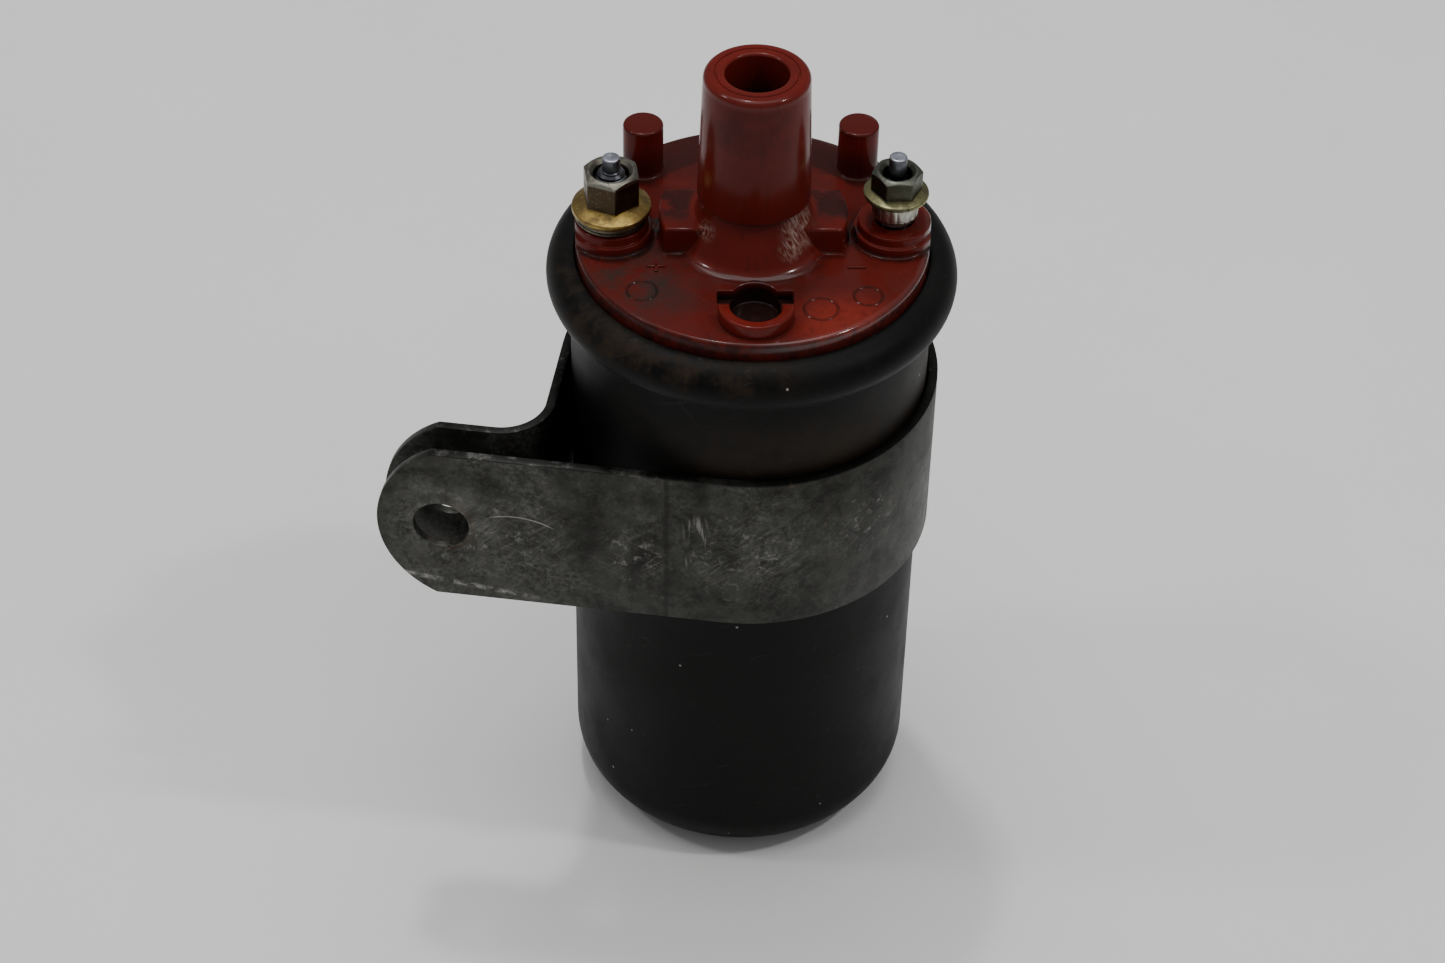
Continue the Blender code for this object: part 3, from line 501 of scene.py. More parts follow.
def makeStrapZinc(look):
    zinc = Finish("strapZinc", look, "dark")
    holeX = strapLow.x + strapShape["holeMargin"]
    middleZ = (strapLow.z + strapHigh.z) / 2
    onFront = zinc.between(zinc.y, -26.5, -28.5)
    cloud = zinc.noise(0.16, 9.0, 0.70, warp=0.6)
    mottle = zinc.between(cloud, 0.36, 0.62)
    blotch = zinc.cloud(0.42, 0.62, 0.085, 8.0, 0.66)
    fine = zinc.noise(1.3, 9.0, 0.74)
    crumbs = zinc.between(fine, 0.42, 0.62)
    zinc.tint(mottle, "dull")
    zinc.tint(blotch * crumbs * 0.62, "pale")
    oxide = zinc.patch((holeX + 0.5, -30.0, middleZ), 12.0, 4.5) * zinc.cloud(0.42, 0.60, 0.42, 8.0, 0.72)
    zinc.tint(oxide * 0.50, "pale")
    # whitish scuffs gathered on the ear, round its hole and on the band's front
    places = [((holeX + 1.0, -30.0, middleZ), 9.5, 4.0), ((-32.0, -30.0, middleZ), 11.0, 2.0),
              ((-14.0, -30.0, middleZ - 2.0), 8.0, 2.0), ((4.0, -30.0, middleZ - 1.0), 12.0, 3.0),
              ((22.0, -21.0, middleZ + 2.0), 9.0, 2.0)]
    gathered = 0.10
    for point, reach, core in places:
        gathered = zinc.patch(point, reach, core) * 0.8 + gathered
    rubs = zinc.scratches((0, 38, 0), (0.05, 0.5, 1.35), 0.52, 0.66)
    hair = zinc.scratches((0, 52, 12), (0.07, 0.9, 3.0), 0.58, 0.66)
    cross = zinc.scratches((0, -24, 0), (0.09, 0.9, 3.2), 0.60, 0.68)
    scuffs = (rubs * 0.16 + hair * 0.18 + cross * 0.18) * gathered * zinc.cloud(0.36, 0.58, 0.35, 6.0, 0.7)
    zinc.tint(scuffs, "scuff")
    shaded = zinc.between(zinc.x, 6.0, 27.0) * 0.42 + zinc.line(zinc.x, -18.0, 9.0) * 0.20
    zinc.tint(shaded, "dark")
    flakes = zinc.cloud(0.54, 0.66, 0.60, 8.0, 0.78) * gathered
    zinc.tint(flakes * 0.52, "scuff")
    # one curved scratch on the ear, a worn line near its lower edge and a few bare nicks above
    curve = zinc.line(zinc.away((-33.0, -30.3, middleZ - 9.0)), 12.4, 0.16)
    curve = curve * zinc.between(zinc.z, middleZ + 1.0, middleZ + 2.0)
    curve = curve * zinc.between(zinc.x, -37.5, -35.5) * zinc.between(zinc.x, -26.0, -28.0)
    low = zinc.z - (strapLow.z + 2.4) + (zinc.x + 40.0) * 0.12
    wearLine = zinc.line(low, 0.0, 0.7) * zinc.between(zinc.x, -28.0, -34.0)
    wearLine = wearLine * zinc.cloud(0.44, 0.60, 0.7, 6.0, 0.75)
    edge = zinc.between(zinc.z, strapHigh.z - 0.35, strapHigh.z - 0.1)
    zinc.tint(edge * 0.95, "shadow")
    nicks = edge * zinc.cloud(0.50, 0.62, 0.20, 8.0, 0.75) * zinc.between(zinc.x, 10.0, -20.0)
    zinc.tint((curve * 0.8 + wearLine * 0.8) * onFront + nicks * 0.30, "scuff")
    # an upright crease, darkened with painted shade, and small pressed marks where the ear leaves the can
    crease = zinc.line(zinc.x + zinc.noise(0.3, 3.0) * 0.8, -8.4, 0.7) * onFront
    marks = zinc.line(zinc.x, -4.2, 2.6) * zinc.patch((-4.2, -29.0, middleZ + 2.0), 6.5, 4.0) * onFront
    marks = marks * zinc.scratches((0, 4, 0), (1.5, 0.8, 0.16), 0.56, 0.66)
    zinc.tint(crease * 0.7, "dark")
    zinc.tint(marks * 0.5, "scuff")
    spots = zinc.cloud(0.67, 0.74, 0.33, 4.0, 0.5)
    ring = zinc.line(zinc.away((holeX, -30.3, middleZ)), strapShape["hole"] + 0.6, 0.9)
    ring = ring * zinc.between(zinc.x, holeX - 1.0, holeX + 2.0)
    zinc.tint(spots * 0.6 + ring * crumbs * 0.6, "rust")
    rough = mottle * -0.08 + fine * 0.22 + blotch * 0.10 + look["rough"] - 0.04
    metal = 0.80 - blotch * 0.30 - spots * 0.4 - scuffs * 0.3
    grain = cloud * 0.6 + fine * 0.6 - scuffs * 0.6 - crease * 1.2 + flakes * 0.2
    return zinc.done(rough=rough, metal=metal, normal=zinc.bumps(grain, 0.34, 0.10))


# plated small parts: "hex" colours a nut's flats from hexFrom up, and "crown" what is above top
platedLooks = {
    "yellowZinc": {
        "plate": (0.36, 0.25, 0.075), "dull": (0.085, 0.058, 0.030), "pale": (0.52, 0.46, 0.28),
        "hex": (0.052, 0.037, 0.024), "hexFrom": 2.1, "crown": (0.20, 0.195, 0.165), "top": 6.2,
        "rough": 0.33, "seed": 3.0,
    },
    "oliveZinc": {
        "plate": (0.27, 0.25, 0.12), "dull": (0.065, 0.065, 0.045), "pale": (0.46, 0.45, 0.34),
        "hex": (0.066, 0.066, 0.045), "hexFrom": 1.3, "crown": (0.12, 0.125, 0.105), "top": 3.9,
        "rough": 0.32, "seed": 11.0,
    },
    "collarZinc": {
        "plate": (0.50, 0.50, 0.44), "dull": (0.22, 0.21, 0.17), "pale": (0.78, 0.78, 0.72),
        "rough": 0.24, "seed": 19.0,
    },
    "washerZinc": {
        "plate": (0.16, 0.14, 0.10), "dull": (0.05, 0.048, 0.042), "pale": (0.36, 0.34, 0.28),
        "rough": 0.38, "seed": 27.0,
    },
    "studZinc": {
        "plate": (0.13, 0.133, 0.15), "dull": (0.040, 0.040, 0.046), "pale": (0.30, 0.31, 0.34),
        "crown": (0.42, 0.43, 0.50), "top": 0.0, "rough": 0.30, "seed": 35.0,
    },
}
platedPits = {"pit": (0.022, 0.017, 0.012)}


def makePlated(name, look, base):
    plate = Finish(name, {**look, **platedPits}, "plate", {"Metallic": 1.0})
    place = plate.add("Mapping", None, {"Vector": plate.place,
                                        "Location": (look["seed"], 0.0, look["seed"])})
    cloud = plate.cloud(0.36, 0.62, 0.45, 6.0, 0.65, place)
    fine = plate.noise(2.6, 7.0, 0.7, place)
    face = 0.0
    if "hex" in look:
        face = plate.between(plate.z, base + look["hexFrom"] - 0.3, base + look["hexFrom"])
        plate.tint(face, "hex")
    plate.tint(cloud * 0.7, "dull")
    if "crown" in look:
        plate.tint(plate.between(plate.z, base + look["top"], base + look["top"] + 0.3) * 0.8, "crown")
    plate.tint(plate.between(fine, 0.56, 0.70) * (0.5 - face * 0.22), "pale")
    pits = plate.cloud(0.60, 0.72, 1.5, 5.0, 0.6, place)
    plate.tint(pits * 0.6, "pit")
    rough = cloud * 0.16 + fine * 0.18 + pits * 0.15 + look["rough"] - 0.10
    return plate.done(rough=rough, normal=plate.bumps(fine * 0.6 + cloud * 0.5 - pits * 0.4, 0.3, 0.05))


# windings, paper, iron and the rest that the can hides
innerKeys = ("colour", "other", "rough", "metal", "grain")
innerLooks = {
    "brass": ((0.58, 0.40, 0.14), (0.30, 0.17, 0.06), 0.28, 1.0, (0.6, 0.6, 0.6)),
    "spring_steel": ((0.42, 0.42, 0.42), (0.20, 0.20, 0.20), 0.30, 1.0, (1, 1, 1)),
    "core_iron": ((0.17, 0.17, 0.185), (0.07, 0.065, 0.06), 0.48, 0.9, (1.6, 1.6, 0.05)),
    "copper": ((0.52, 0.17, 0.07), (0.24, 0.07, 0.035), 0.32, 1.0, (0.05, 0.05, 2.4)),
    "wound_wire": ((0.44, 0.20, 0.09), (0.20, 0.09, 0.04), 0.42, 0.7, (0.05, 0.05, 4.5)),
    "paper": ((0.46, 0.34, 0.18), (0.26, 0.17, 0.08), 0.62, 0.0, (0.7, 0.7, 0.9)),
    "pressboard": ((0.21, 0.14, 0.08), (0.12, 0.075, 0.045), 0.70, 0.0, (1.3, 1.3, 1.3)),
    "porcelain": ((0.72, 0.70, 0.64), (0.55, 0.51, 0.44), 0.30, 0.0, (0.3, 0.3, 0.3)),
    "rubber": ((0.016, 0.016, 0.016), (0.035, 0.034, 0.032), 0.68, 0.0, (1.2, 1.2, 1.2)),
}


def makeInner(name, look):
    inner = Finish(name, look, "colour", {"Metallic": look["metal"]})
    grain = inner.noise(1.0, 5.0, 0.6, inner.stretched(look["grain"]))
    cloud = inner.cloud(0.35, 0.65, 0.12, 4.0)
    inner.tint(inner.between(grain, 0.38, 0.64) * 0.6 + cloud * 0.25, "other")
    rough = grain * 0.2 + cloud * 0.06 + look["rough"] - 0.12
    return inner.done(rough=rough, normal=inner.bumps(grain, 0.35, 0.08))


canPaint = makeCanPaint(canLook)
capMoulding = makeMoulding(mouldingLook)
strapZinc = makeStrapZinc(strapLook)
studCrown = 0.35                     # the depth of a stud's bright point
plated = {name: makePlated(name, platedLooks[look], base) for name, look, base in (
    ("yellowZinc", "yellowZinc", nodeBox("nut_positive")[0].z),
    ("oliveZinc", "oliveZinc", nodeBox("nut_negative")[0].z),
    ("collarZinc", "collarZinc", discZ),
    ("washerZinc", "washerZinc", discZ),
    ("plusStudZinc", "studZinc", plusHigh.z - studCrown),
    ("minusStudZinc", "studZinc", minusHigh.z - studCrown),
)}
inner = {name: makeInner(name, dict(zip(innerKeys, values))) for name, values in innerLooks.items()}
for part in frame["record"]["subparts"]:
    if part["material_slot"] in inner:
        node = frame["nodes"][part["node"]]
        node.data.materials.clear()
        node.data.materials.append(inner[part["material_slot"]])
print("finishes made:", len(bpy.data.materials))


# the can: flat base, round corner, straight side and the bead rolled over the cap

canShape = {
    "radius": 28.5,
    "wall": 0.8,
    "corner": 9.5,
    "beadRadius": 4.0,
    "fillet": 1.5,
    "lip": 27.9,
    "steps": 160,
}


def makeCan(shape):
    radius, wall, bead = shape["radius"], shape["wall"], shape["beadRadius"]
    ring = canHigh.x - bead
    beadZ = beadTop - bead
    cornerX = radius - shape["corner"]
    filletX = radius + shape["fillet"]
    drop = math.sqrt((bead + shape["fillet"]) ** 2 - (filletX - ring) ** 2)
    meet = math.degrees(math.atan2(-drop, filletX - ring))
    inside = bead - wall
    lipEnd = math.degrees(math.acos((shape["lip"] - ring) / bead))
    lipStart = math.degrees(math.acos((shape["lip"] - ring) / inside))
    outline = [(0, 0), (cornerX * 0.5, 0)]
    outline += arcPoints(cornerX, shape["corner"], shape["corner"], -90, 0, 20)
    outline += arcPoints(filletX, beadZ - drop, shape["fillet"], 180, 180 + meet, 8)
    outline += arcPoints(ring, beadZ, bead, meet, lipEnd, 32)[1:]
    outline += arcPoints(ring, beadZ, inside, lipStart, meet, 20)
    outline += arcPoints(filletX, beadZ - drop, shape["fillet"] + wall, 180 + meet, 180, 6)[1:]
    outline += arcPoints(cornerX, shape["corner"], shape["corner"] - wall, 0, -90, 10)
    outline.append((0, wall))
    return turned(outline, shape["steps"], canLow.z)


finishPiece("canShell", makeCan(canShape), canPaint, "coil", ["can"])
print("can made")


# the cap: disc, tower and socket turned in one, then ribs, posts, bosses, pocket and marks

capShape = {
    "discRadius": 27.6,
    "edge": 0.7,
    "topRadius": 8.15,
    "rimRadius": 8.85,
    "lipRound": 1.0,
    "rimRise": 8.1,
    "neckRadius": 7.9,
    "neckRidges": 3,
    "neckFlare": 3.6,
    "footFillet": 2.4,
    "socketRadius": 4.85,
    "socketRise": 4.0,
    "grooveRadius": 6.35,
    "underside": 5.4,
    "nozzleWall": 3.0,
    "nozzleDrop": 10.0,
    "ledge": 2.0,
    "stemHole": 2.6,
    "steps": 160,
}
ribShape = {"start": 7.3, "end": 14.6, "half": 5.2, "height": 4.7, "edge": 0.5, "foot": 0.5}
postShape = {"angle": 45.3, "distance": 24.2, "radius": 3.2, "height": 8.5, "edge": 0.45, "foot": 0.6}
bossShape = {"radius": 5.7, "height": 3.0, "footRadius": 6.3, "footHeight": 1.5, "bore": 2.8}
pocketShape = {"radius": 3.9, "near": 16.3, "far": 20.4, "depth": 3.6, "rim": 0.35, "edge": 0.4,
               "pip": 1.0, "pipHeight": 1.2}
notchShape = {"half": 5.8, "width": 3.0, "offset": 15.8, "depth": 1.7, "rim": 0.25}
crescentShape = {"inner": 4.05, "outer": 5.8, "height": 2.3, "edge": 0.35}


def makeCapBody(shape):
    top = capHigh.z
    socket, topRadius, lip = shape["socketRadius"], shape["topRadius"], shape["lipRound"]
    groove, neck, fillet = shape["grooveRadius"], shape["neckRadius"], shape["footFillet"]
    rimZ = discZ + shape["rimRise"]
    floorZ = discZ + shape["socketRise"]
    outline = arcPoints(socket + 0.5, top - 0.5, 0.5, 180, 90, 6)
    outline += [(groove - 0.18, top), (groove - 0.08, top - 0.16), (groove + 0.08, top - 0.16),
                (groove + 0.18, top)]
    outline += arcPoints(topRadius - lip, top - lip, lip, 90, 0, 9)
    outline += [(shape["rimRadius"] - 0.03, rimZ + 0.5), (shape["rimRadius"] - 0.05, rimZ + 0.14)]
    outline += [(shape["rimRadius"] - 0.2, rimZ), (neck + 0.12, rimZ - 0.1)]
    # the neck widens down to the disc, with faint rings left by the mould
    apron = neck + shape["neckFlare"]
    neckTop = rimZ - 0.35
    slope = math.atan2(neckTop - discZ, apron - neck)
    for index in range(shape["neckRidges"] * 2):
        share = index / (shape["neckRidges"] * 2)
        bulge = 0.05 * (index % 2)
        outline.append((neck + (apron - neck) * share ** 1.15 + bulge, neckTop + (discZ - neckTop) * share))
    run = fillet * math.tan(slope / 2)
    outline += arcPoints(apron + run, discZ + fillet, fillet, 270 - math.degrees(slope), 270, 8)
    outline += [(15.0, discZ), (20.0, discZ), (24.0, discZ)]
    outline += arcPoints(shape["discRadius"] - shape["edge"], discZ - shape["edge"], shape["edge"], 90, 0, 6)
    nozzle, nozzleZ = socket + shape["nozzleWall"], floorZ - shape["nozzleDrop"]
    ledgeZ = floorZ - shape["ledge"]
    outline += [(shape["discRadius"], discZ - shape["underside"]), (nozzle, discZ - shape["underside"])]
    outline += [(nozzle, nozzleZ), (socket, nozzleZ), (socket, ledgeZ), (shape["stemHole"], ledgeZ)]
    outline += [(shape["stemHole"], floorZ), (socket, floorZ)]
    return turned(outline, shape["steps"])


def roundedRect(left, right, half, corner, steps=6):
    points = arcPoints(left + corner, -half + corner, corner, 180, 270, steps)
    points += arcPoints(right - corner, -half + corner, corner, 270, 360, steps)
    points += arcPoints(right - corner, half - corner, corner, 0, 90, steps)
    points += arcPoints(left + corner, half - corner, corner, 90, 180, steps)
    return points


startDepth = 0.5                     # how far the raised shapes start below the disc's face


def raisedSteps(shape):
    rise = shape["height"] - shape["foot"] - shape["edge"]
    return [(0, startDepth)] + footSteps(shape["foot"]) + [(0, rise)] + edgeSteps(shape["edge"])


def makeRib(shape, side):
    foot = shape["foot"]
    reach, half = shape["end"] + foot, shape["half"] + foot
    spread = math.degrees(math.asin(half / reach))
    outline = [(shape["start"] - foot, -half)] + arcPoints(0, 0, reach, -spread, spread, 12)
    outline.append((shape["start"] - foot, half))
    rib = grown(outline, discZ - startDepth, raisedSteps(shape))
    return rib if side > 0 else moved(rib, turn=180)


def makePost(shape, side):
    outline = arcPoints(0, 0, shape["radius"] + shape["foot"], 0, 360, 64)[:-1]
    angle = math.radians(shape["angle"])
    at = (side * shape["distance"] * math.cos(angle), shape["distance"] * math.sin(angle), 0)
    return moved(grown(outline, discZ - startDepth, raisedSteps(shape)), at)


def makeBoss(shape, side):
    foot, radius, bore = shape["footRadius"], shape["radius"], shape["bore"]
    outline = [(bore, -1.0), (foot + 0.5, -1.0), (foot + 0.5, 0.0)]
    outline += arcPoints(foot + 0.5, 0.5, 0.5, 270, 180, 5)[1:]
    outline += arcPoints(foot - 0.25, shape["footHeight"] - 0.25, 0.25, 0, 90, 3)
    outline += arcPoints(radius + 0.2, shape["footHeight"] + 0.2, 0.2, 270, 180, 3)
    outline += arcPoints(radius - 0.3, shape["height"] - 0.3, 0.3, 0, 90, 4)
    outline += [(bore + 0.3, shape["height"]), (bore, shape["height"] - 0.3)]
    boss = moved(turned(outline, 96, discZ), (side * studOffset, 0, 0))
    reach = capShape["discRadius"] - 0.05
    trim = turned([(0, -2), (reach, -2), (reach, 5), (0, 5)], capShape["steps"], discZ)
    return carved(boss, trim, "INTERSECT")


def slotOutline(radius, near, far):
    return arcPoints(0, -near, radius, 0, 180, 32) + arcPoints(0, -far, radius, 180, 360, 32)


toolRise = 4.2                       # the cutting shapes start this far above the disc


def makePocketTool(shape):
    outline = slotOutline(shape["radius"] + shape["rim"], shape["near"], shape["far"])
    steps = [(0, toolRise)] + footSteps(shape["rim"], 4)
    steps += [(0, shape["depth"] - shape["rim"] - shape["edge"])] + edgeSteps(shape["edge"], 3)
    return grown(outline, discZ + toolRise, steps, facing=-1)


def makeNotchTool(shape):
    outline = roundedRect(-shape["half"] - shape["rim"], shape["half"] + shape["rim"],
                          shape["width"] / 2 + shape["rim"], 0.5)
    steps = [(0, toolRise)] + footSteps(shape["rim"], 3) + [(0, shape["depth"] - shape["rim"])]
    return moved(grown(outline, discZ + toolRise, steps, facing=-1), (0, -shape["offset"], 0))


def makeCrescent(shape, pocket):
    outline = arcPoints(0, -pocket["far"], shape["outer"], 180, 360, 40)
    outline += arcPoints(0, -pocket["far"], shape["inner"], 360, 180, 32)
    steps = [(0, shape["height"] + startDepth - shape["edge"])] + edgeSteps(shape["edge"], 4)
    return grown(outline, discZ - startDepth, steps)


def makeSign(shape, at, bars):
    length, width, edge, deep = shape["signLength"] / 2, shape["signWidth"] / 2, 0.12, 0.3
    steps = [(0, deep + shape["signHeight"] - edge)] + edgeSteps(edge, 3)
    bar = roundedRect(-length, length, width, 0.2, 3)
    return joined(*[moved(grown(bar, discZ - deep, steps), (*at, 0), turn) for turn in bars])


def makeMouldRing(x, y, radius):
    outline = [(radius - 0.28, -0.3), (radius + 0.28, -0.3), (radius + 0.22, 0.02), (radius + 0.08, 0.13)]
    outline += [(radius - 0.08, 0.13), (radius - 0.22, 0.02)]
    return moved(turned(outline, 64, discZ), (x, y, 0))


def makeCap():
    body = carved(makeCapBody(capShape), makePocketTool(pocketShape))
    body = carved(body, makeNotchTool(notchShape))
    # a small pip stands on the pocket's floor
    pip, pipTop = pocketShape["pip"], pocketShape["pipHeight"]
    outline = [(0, -0.4), (pip, -0.4), (pip, pipTop - 0.2), (pip - 0.2, pipTop), (0, pipTop)]
    peg = moved(turned(outline, 32, discZ - pocketShape["depth"]),
                (0, -(pocketShape["near"] + pocketShape["far"]) / 2, 0))
    extras = [makeRib(ribShape, -1), makeRib(ribShape, 1), makePost(postShape, -1), makePost(postShape, 1)]
    extras += [makeBoss(bossShape, -1), makeBoss(bossShape, 1), makeCrescent(crescentShape, pocketShape),
               peg]
    extras += [makeSign(markShape, markShape["plus"], (0, 90)),
               makeSign(markShape, markShape["minus"], (0,))]
    extras += [makeMouldRing(*ring) for ring in markShape["rings"]]
    return moved(joined(body, *extras), turn=capTurn)


finishPiece("mouldedCap", makeCap(), capMoulding, "coil", ["cap"], 38)
print("cap made")


# studs, washer, collar and nuts

threadShape = {"depth": 0.38, "stepsPerTurn": 24, "head": 2.4, "headLap": 1.0, "start": 1.6, "spare": 2.4}
plusStud = {"radius": 2.5, "pitch": 0.8, "shoulder": 12.0, "tip": 1.38}
minusStud = {"radius": 2.0, "pitch": 0.7, "shoulder": 10.7, "tip": 1.4}
plusNut = {"flats": 8.0, "flange": 6.15, "edge": 0.9, "cone": 1.0, "bore": 2.8, "turn": -22.0}
minusNut = {"flats": 7.0, "flange": 5.05, "edge": 0.7, "cone": 0.4, "bore": 2.3, "turn": 3.0}
washerShape = {"bore": 2.8, "groove": 0.14, "edge": 0.18}
collarShape = {"radius": 3.6, "foot": 3.0, "footHeight": 1.0, "flutes": 18, "flute": 0.975, "bore": 2.3}
contactShape = {"head": 4.55, "foot": 4.9, "stem": 2.3}


# a plain core with a dog point, and the thread wound round it as one closed rib
def makeStud(shape, low, high, axis):
    root = shape["radius"] - threadShape["depth"]
    shoulder = discZ + shape["shoulder"]
    tip = shape["tip"]
    headLow = low.z
    headTop = headLow + threadShape["head"]
    headRadius = shape["radius"] + threadShape["headLap"]
    outline = [(0, headLow), (headRadius - 0.2, headLow), (headRadius, headLow + 0.2),
               (headRadius, headTop - 0.2)]
    outline += [(headRadius - 0.2, headTop), (root, headTop), (root, shoulder - 0.35),
                (root - 0.35, shoulder)]
    outline += [(tip, shoulder + 0.02), (tip - 0.14, shoulder + 0.12), (tip - 0.14, shoulder + 0.34),
                (tip, shoulder + 0.46)]
    outline += arcPoints(tip - 0.3, high.z - 0.3, 0.3, 0, 90, 4)
    outline += [(tip * 0.4, high.z - 0.02), (0, high.z - 0.08)]
    core = turned(outline, 64)
    pitch = shape["pitch"]
    turns = int((shoulder - headTop - threadShape["spare"]) / pitch)
    rib = bmesh.new()
    corners = [(root - 0.25, -pitch * 0.46), (root, -pitch * 0.42), (shape["radius"], -pitch * 0.06),
               (shape["radius"], pitch * 0.06), (root, pitch * 0.42), (root - 0.25, pitch * 0.46)]
    start = headTop + threadShape["start"]
    section = [rib.verts.new((radius * mm, 0, (start + height) * mm)) for radius, height in corners]
    face = rib.faces.new(section)
    bmesh.ops.spin(rib, geom=[face, *face.edges, *face.verts], cent=(0, 0, 0), axis=(0, 0, 1),
                   angle=math.tau * turns, steps=threadShape["stepsPerTurn"] * turns,
                   dvec=(0, 0, pitch / threadShape["stepsPerTurn"] * mm))
    bmesh.ops.recalc_face_normals(rib, faces=rib.faces)
    return moved(joined(core, rib), (axis.x, axis.y, 0))


def makeFlangeNut(shape, low, high, axis):
    height = high.z - low.z
    half = shape["flats"] / 2
    corner = half / math.cos(math.pi / 6)
    bore, flange, edge = shape["bore"], shape["flange"], shape["edge"]
    body = bmesh.new()
    bmesh.ops.create_cone(body, cap_ends=True, segments=6, radius1=corner * mm, radius2=corner * mm,
                          depth=(height - edge * 0.5) * mm)
    bmesh.ops.translate(body, verts=body.verts, vec=(0, 0, (height + edge * 0.5) / 2 * mm))
    uprights = [item for item in body.edges if abs(item.verts[0].co.z - item.verts[1].co.z) > mm]
    bmesh.ops.bevel(body, geom=uprights, offset=0.18 * mm, offset_type="OFFSET", segments=3, profile=0.5,
                    affect="EDGES", clamp_overlap=True, material=-1)
    moved(body, turn=shape["turn"] + capTurn - 30)
    drop = corner - half
    crown = turned([(0, -1), (corner + 0.15, -1), (corner + 0.15, height - drop - 0.15),
                    (half - 0.25, height - 0.03), (half - 0.4, height), (0, height)], 96)
    hole = turned([(0, -1), (bore, -1), (bore, height - 0.6), (bore + 0.55, height - 0.02),
                   (bore + 0.55, height + 1), (0, height + 1)], 64)
    body = carved(carved(body, crown, "INTERSECT"), hole)
    outline = [(bore, 0.0), (flange - 0.2, 0.0)]
    outline += arcPoints(flange - 0.2, 0.2, 0.2, -90, 0, 3)
    outline += arcPoints(flange - 0.28, edge - 0.28, 0.28, 0, 72, 4)
    outline += [(half + 0.15, edge + shape["cone"] - 0.05), (half - 0.2, edge + shape["cone"]),
                (bore, edge + shape["cone"])]
    return moved(joined(body, turned(outline, 96)), (axis.x, axis.y, low.z))


def makeWasher(shape, low, high, axis):
    radius, height = (high.x - low.x) / 2, high.z - low.z
    bore, groove, edge = shape["bore"], radius - shape["groove"], shape["edge"]
    outline = [(bore, 0.1), (bore + 0.1, 0), (radius - 0.15, 0), (radius, 0.15), (radius, height * 0.42)]
    outline += [(groove, height * 0.46), (groove, height * 0.54), (radius, height * 0.58),
                (radius, height - edge)]
    outline += arcPoints(radius - edge, height - edge, edge, 0, 90, 3)
    outline += [(bore + 0.1, height), (bore, height - 0.1)]
    return moved(turned(outline, 96, low.z), (axis.x, axis.y, 0))


def makeCollar(shape, low, high, axis):
    height = high.z - low.z
    radius, foot = shape["radius"], shape["foot"]
    outline = [(shape["bore"], 0.1), (shape["bore"] + 0.1, 0), (foot - 0.1, 0), (foot, 0.1),
               (foot, shape["footHeight"] * 0.5)]
    outline += [(radius - 0.1, shape["footHeight"]), (radius, shape["footHeight"] + 0.2),
                (radius, height - 0.25)]
    outline += arcPoints(radius - 0.25, height - 0.25, 0.25, 0, 90, 3)
    outline += [(shape["bore"] + 0.1, height), (shape["bore"], height - 0.1)]
    collar = turned(outline, shape["flutes"] * 4, low.z)
    # flutes: every fourth column of the outer wall is drawn in a little
    for vert in collar.verts:
        across = math.hypot(vert.co.x, vert.co.y) / mm
        column = round(math.degrees(math.atan2(vert.co.y, vert.co.x)) * shape["flutes"] * 4 / 360) % 4
        if across > foot - 0.05 and column == 0:
            vert.co.x *= shape["flute"]
            vert.co.y *= shape["flute"]
    return moved(collar, (axis.x, axis.y, 0))


def makeContact(shape, low, high):
    head, foot, stem = shape["head"], shape["foot"], shape["stem"]
    outline = [(0, low.z), (foot - 0.2, low.z), (foot, low.z + 0.2), (foot, low.z + 1.1),
               (stem, low.z + 1.2)]
    outline += [(stem, high.z - 2.2), (head, high.z - 2.2), (head, high.z - 0.9), (head - 0.3, high.z - 0.6)]
    outline += [(2.8, high.z - 0.15), (2.0, high.z), (1.2, high.z), (0.9, high.z - 0.3), (0, high.z - 0.35)]
    return turned(outline, 64)


terminals = (
    ("plusStud", makeStud(plusStud, plusLow, plusHigh, plusAxis),
     plated["plusStudZinc"], "coil", "stud_positive", "bright_zinc", 32),
    ("minusStud", makeStud(minusStud, minusLow, minusHigh, minusAxis),
     plated["minusStudZinc"], "coil", "stud_negative", "bright_zinc", 32),
    ("plusWasher", makeWasher(washerShape, *nodeBox("washer_positive"), plusAxis),
     plated["washerZinc"], "positive_washer", "washer_positive", "bright_zinc", 32),
    ("minusCollar", makeCollar(collarShape, *nodeBox("collar_negative"), minusAxis),
     plated["collarZinc"], "negative_collar", "collar_negative", "bright_zinc", 24),
    ("plusFlangeNut", makeFlangeNut(plusNut, *nodeBox("nut_positive"), plusAxis),
     plated["yellowZinc"], "positive_nut", "nut_positive", "yellow_zinc", 28),
    ("minusFlangeNut", makeFlangeNut(minusNut, *nodeBox("nut_negative"), minusAxis),
     plated["oliveZinc"], "negative_nut", "nut_negative", "green_zinc", 28),
    ("towerContact", makeContact(contactShape, *nodeBox("hv_contact")),
     inner["brass"], "coil", "hv_contact", "brass", 32),
)
for name, builder, finish, body, node, slot, sharpest in terminals:
    finishPiece(name, builder, finish, body, [node], sharpest)
print("terminals made")


# the clamp strap: one bent strip with two ears, holed for the clamp bolt

def strapFace(shape, shift):
    line = strapHigh.x - shape["thickness"] / 2
    ring = line + shift
    endX = strapLow.x - 1.0
    rearY = -(line - shape["thickness"] - shape["earGap"])
    bend = shape["bend"] + shape["thickness"] / 2
    points = [(endX, -ring), (-38.0, -ring), (-20.0, -ring)]
    points += arcPoints(0, 0, ring, -90, 180, shape["ringSteps"])
    points += arcPoints(-line - bend, rearY + bend, bend - shift, 0, -90, 20)
    points.append((endX, rearY + shift))
    return points


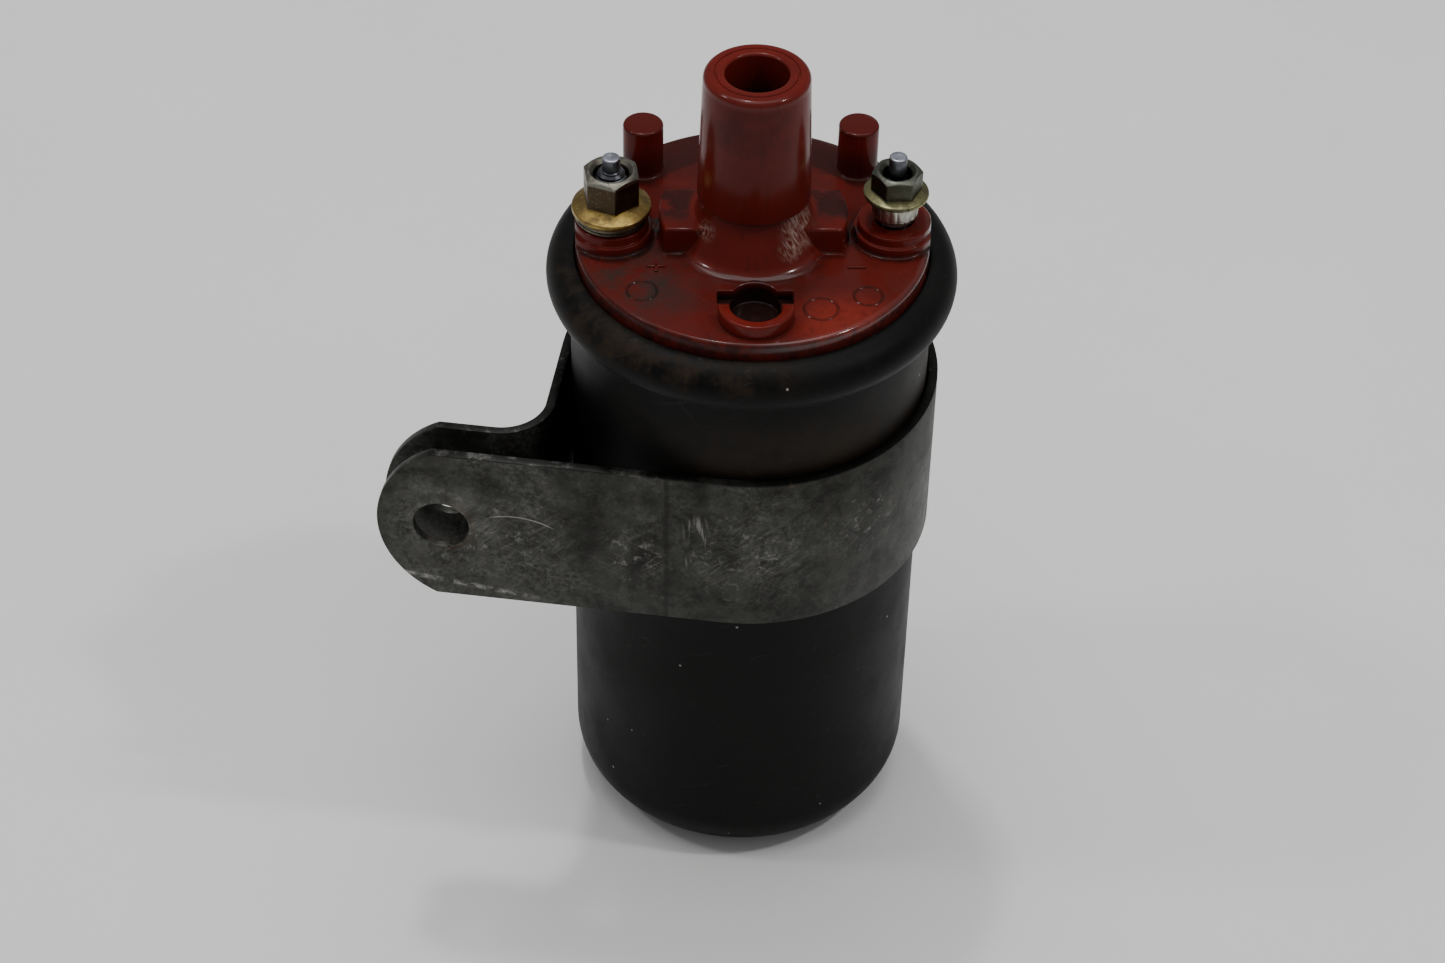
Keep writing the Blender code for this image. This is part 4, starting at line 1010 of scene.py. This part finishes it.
# a face pulled out into a closed block
def pulled(points, way):
    builder = bmesh.new()
    face = builder.faces.new([builder.verts.new([value * mm for value in point]) for point in points])
    region = bmesh.ops.extrude_face_region(builder, geom=[face])["geom"]
    bmesh.ops.translate(builder, verts=[item for item in region if isinstance(item, bmesh.types.BMVert)],
                        vec=[value * mm for value in way])
    bmesh.ops.recalc_face_normals(builder, faces=builder.faces)
    return builder


def upright(outline, near, far):
    return pulled([(x, -near, z) for x, z in outline], (0, near - far, 0))


def makeStrap(shape):
    half = shape["thickness"] / 2
    outline = strapFace(shape, half) + strapFace(shape, -half)[::-1]
    strip = pulled([(x, y, strapLow.z) for x, y in outline], (0, 0, strapHigh.z - strapLow.z))
    holeX = strapLow.x + shape["holeMargin"]
    middleZ = (strapLow.z + strapHigh.z) / 2
    tall = (strapHigh.z - strapLow.z) / 2
    rise = shape["endRise"]
    endRadius = (tall ** 2 + rise ** 2) / (2 * rise)
    spread = 2 * math.degrees(math.atan2(rise, tall))
    end = arcPoints(strapLow.x + endRadius, middleZ, endRadius, 180 + spread, 180 - spread, 48)
    cornerX = strapLow.x + rise
    beyond = strapLow.x - 3.0
    tool = [(cornerX, middleZ + tall + 1), (beyond, middleZ + tall + 1), (beyond, middleZ - tall - 1),
            (cornerX, middleZ - tall - 1), *end]
    betweenEars = strapHigh.x - shape["thickness"] - shape["earGap"] / 2
    frontHole = arcPoints(holeX, middleZ, shape["hole"], 0, 360, 56)[:-1]
    rearHole = arcPoints(holeX, middleZ, shape["threadHole"], 0, 360, 48)[:-1]
    # the rounded ends go through both ears, and each hole through its own
    for cut, near, far in ((tool, 0, 60), (frontHole, betweenEars, 60), (rearHole, 0, betweenEars)):
        strip = carved(strip, upright(cut, near, far))
    return softened(strip, shape["edge"], 45)


finishPiece("clampStrap", makeStrap(strapShape), strapZinc, "strap", ["clamp_strap"], 40)
print("strap made")


# floor, light and camera

floorLook = {
    "clean": (0.93, 0.93, 0.925),
    "shade": (0.9021, 0.9021, 0.89725),
    "size": 2.5,
    "gap": 0.00002,
}
stageLook = {
    "sky": 0.27,
    "aim": (0, 0, 0.07),
    "lamps": {
        "softTop": ((-0.05, 0.12, 1.45), 8.2, 1.15),
        "key": ((-0.18, 0.36, 1.42), 4.0, 0.10),
        "rightRim": ((0.78, -0.08, 1.17), 3.2, 0.09),
        "leftRim": ((-0.86, -0.14, 1.10), 1.8, 0.14),
    },
}
cameraLook = {
    "place": (0.04459, -0.39754, 0.42123),
    "yaw": 6.948,
    "pitch": 41.931,
    "roll": 1.288,
    "lens": 80.72,
    "sensor": 36.0,
}


def makeFloor(look):
    builder = bmesh.new()
    bmesh.ops.create_grid(builder, x_segments=8, y_segments=8, size=look["size"])
    bmesh.ops.translate(builder, verts=builder.verts, vec=(0, 0, cadBox[0].z - look["gap"]))
    mesh = bpy.data.meshes.new("floor")
    builder.to_mesh(mesh)
    builder.free()
    paper = Finish("floorPaper", look, "clean", {"Roughness": 0.6, "Specular IOR Level": 0.3})
    paper.tint(paper.cloud(0.3, 0.7, 0.012, 5.0, 0.6), "shade")
    mesh.materials.append(paper.done())
    floor = bpy.data.objects.new("floor", mesh)
    bpy.context.scene.collection.objects.link(floor)


def makeLamp(name, place, power, size):
    lamp = bpy.data.lights.new(name, "AREA")
    lamp.energy = power
    lamp.size = size
    holder = bpy.data.objects.new(name, lamp)
    bpy.context.scene.collection.objects.link(holder)
    holder.location = place
    aim = Vector(stageLook["aim"]) - Vector(place)
    holder.rotation_euler = aim.to_track_quat("-Z", "Y").to_euler()


makeFloor(floorLook)
for lampName, lampValues in stageLook["lamps"].items():
    makeLamp(lampName, *lampValues)
sky = bpy.data.worlds.new("sky")
bpy.context.scene.world = sky
sky.use_nodes = True
sky.node_tree.nodes["Background"].inputs["Color"].default_value = (1.0, 1.0, 1.0, 1.0)
sky.node_tree.nodes["Background"].inputs["Strength"].default_value = stageLook["sky"]

lens = bpy.data.cameras.new("camera")
lens.lens = cameraLook["lens"]
lens.sensor_width = cameraLook["sensor"]
lens.clip_start = 0.01
camera = bpy.data.objects.new("camera", lens)
bpy.context.scene.collection.objects.link(camera)
camera.matrix_world = (Matrix.Translation(cameraLook["place"])
                       @ Matrix.Rotation(math.radians(cameraLook["yaw"]), 4, "Z")
                       @ Matrix.Rotation(math.radians(90 - cameraLook["pitch"]), 4, "X")
                       @ Matrix.Rotation(math.radians(cameraLook["roll"]), 4, "Z"))
bpy.context.scene.camera = camera
print("stage set")
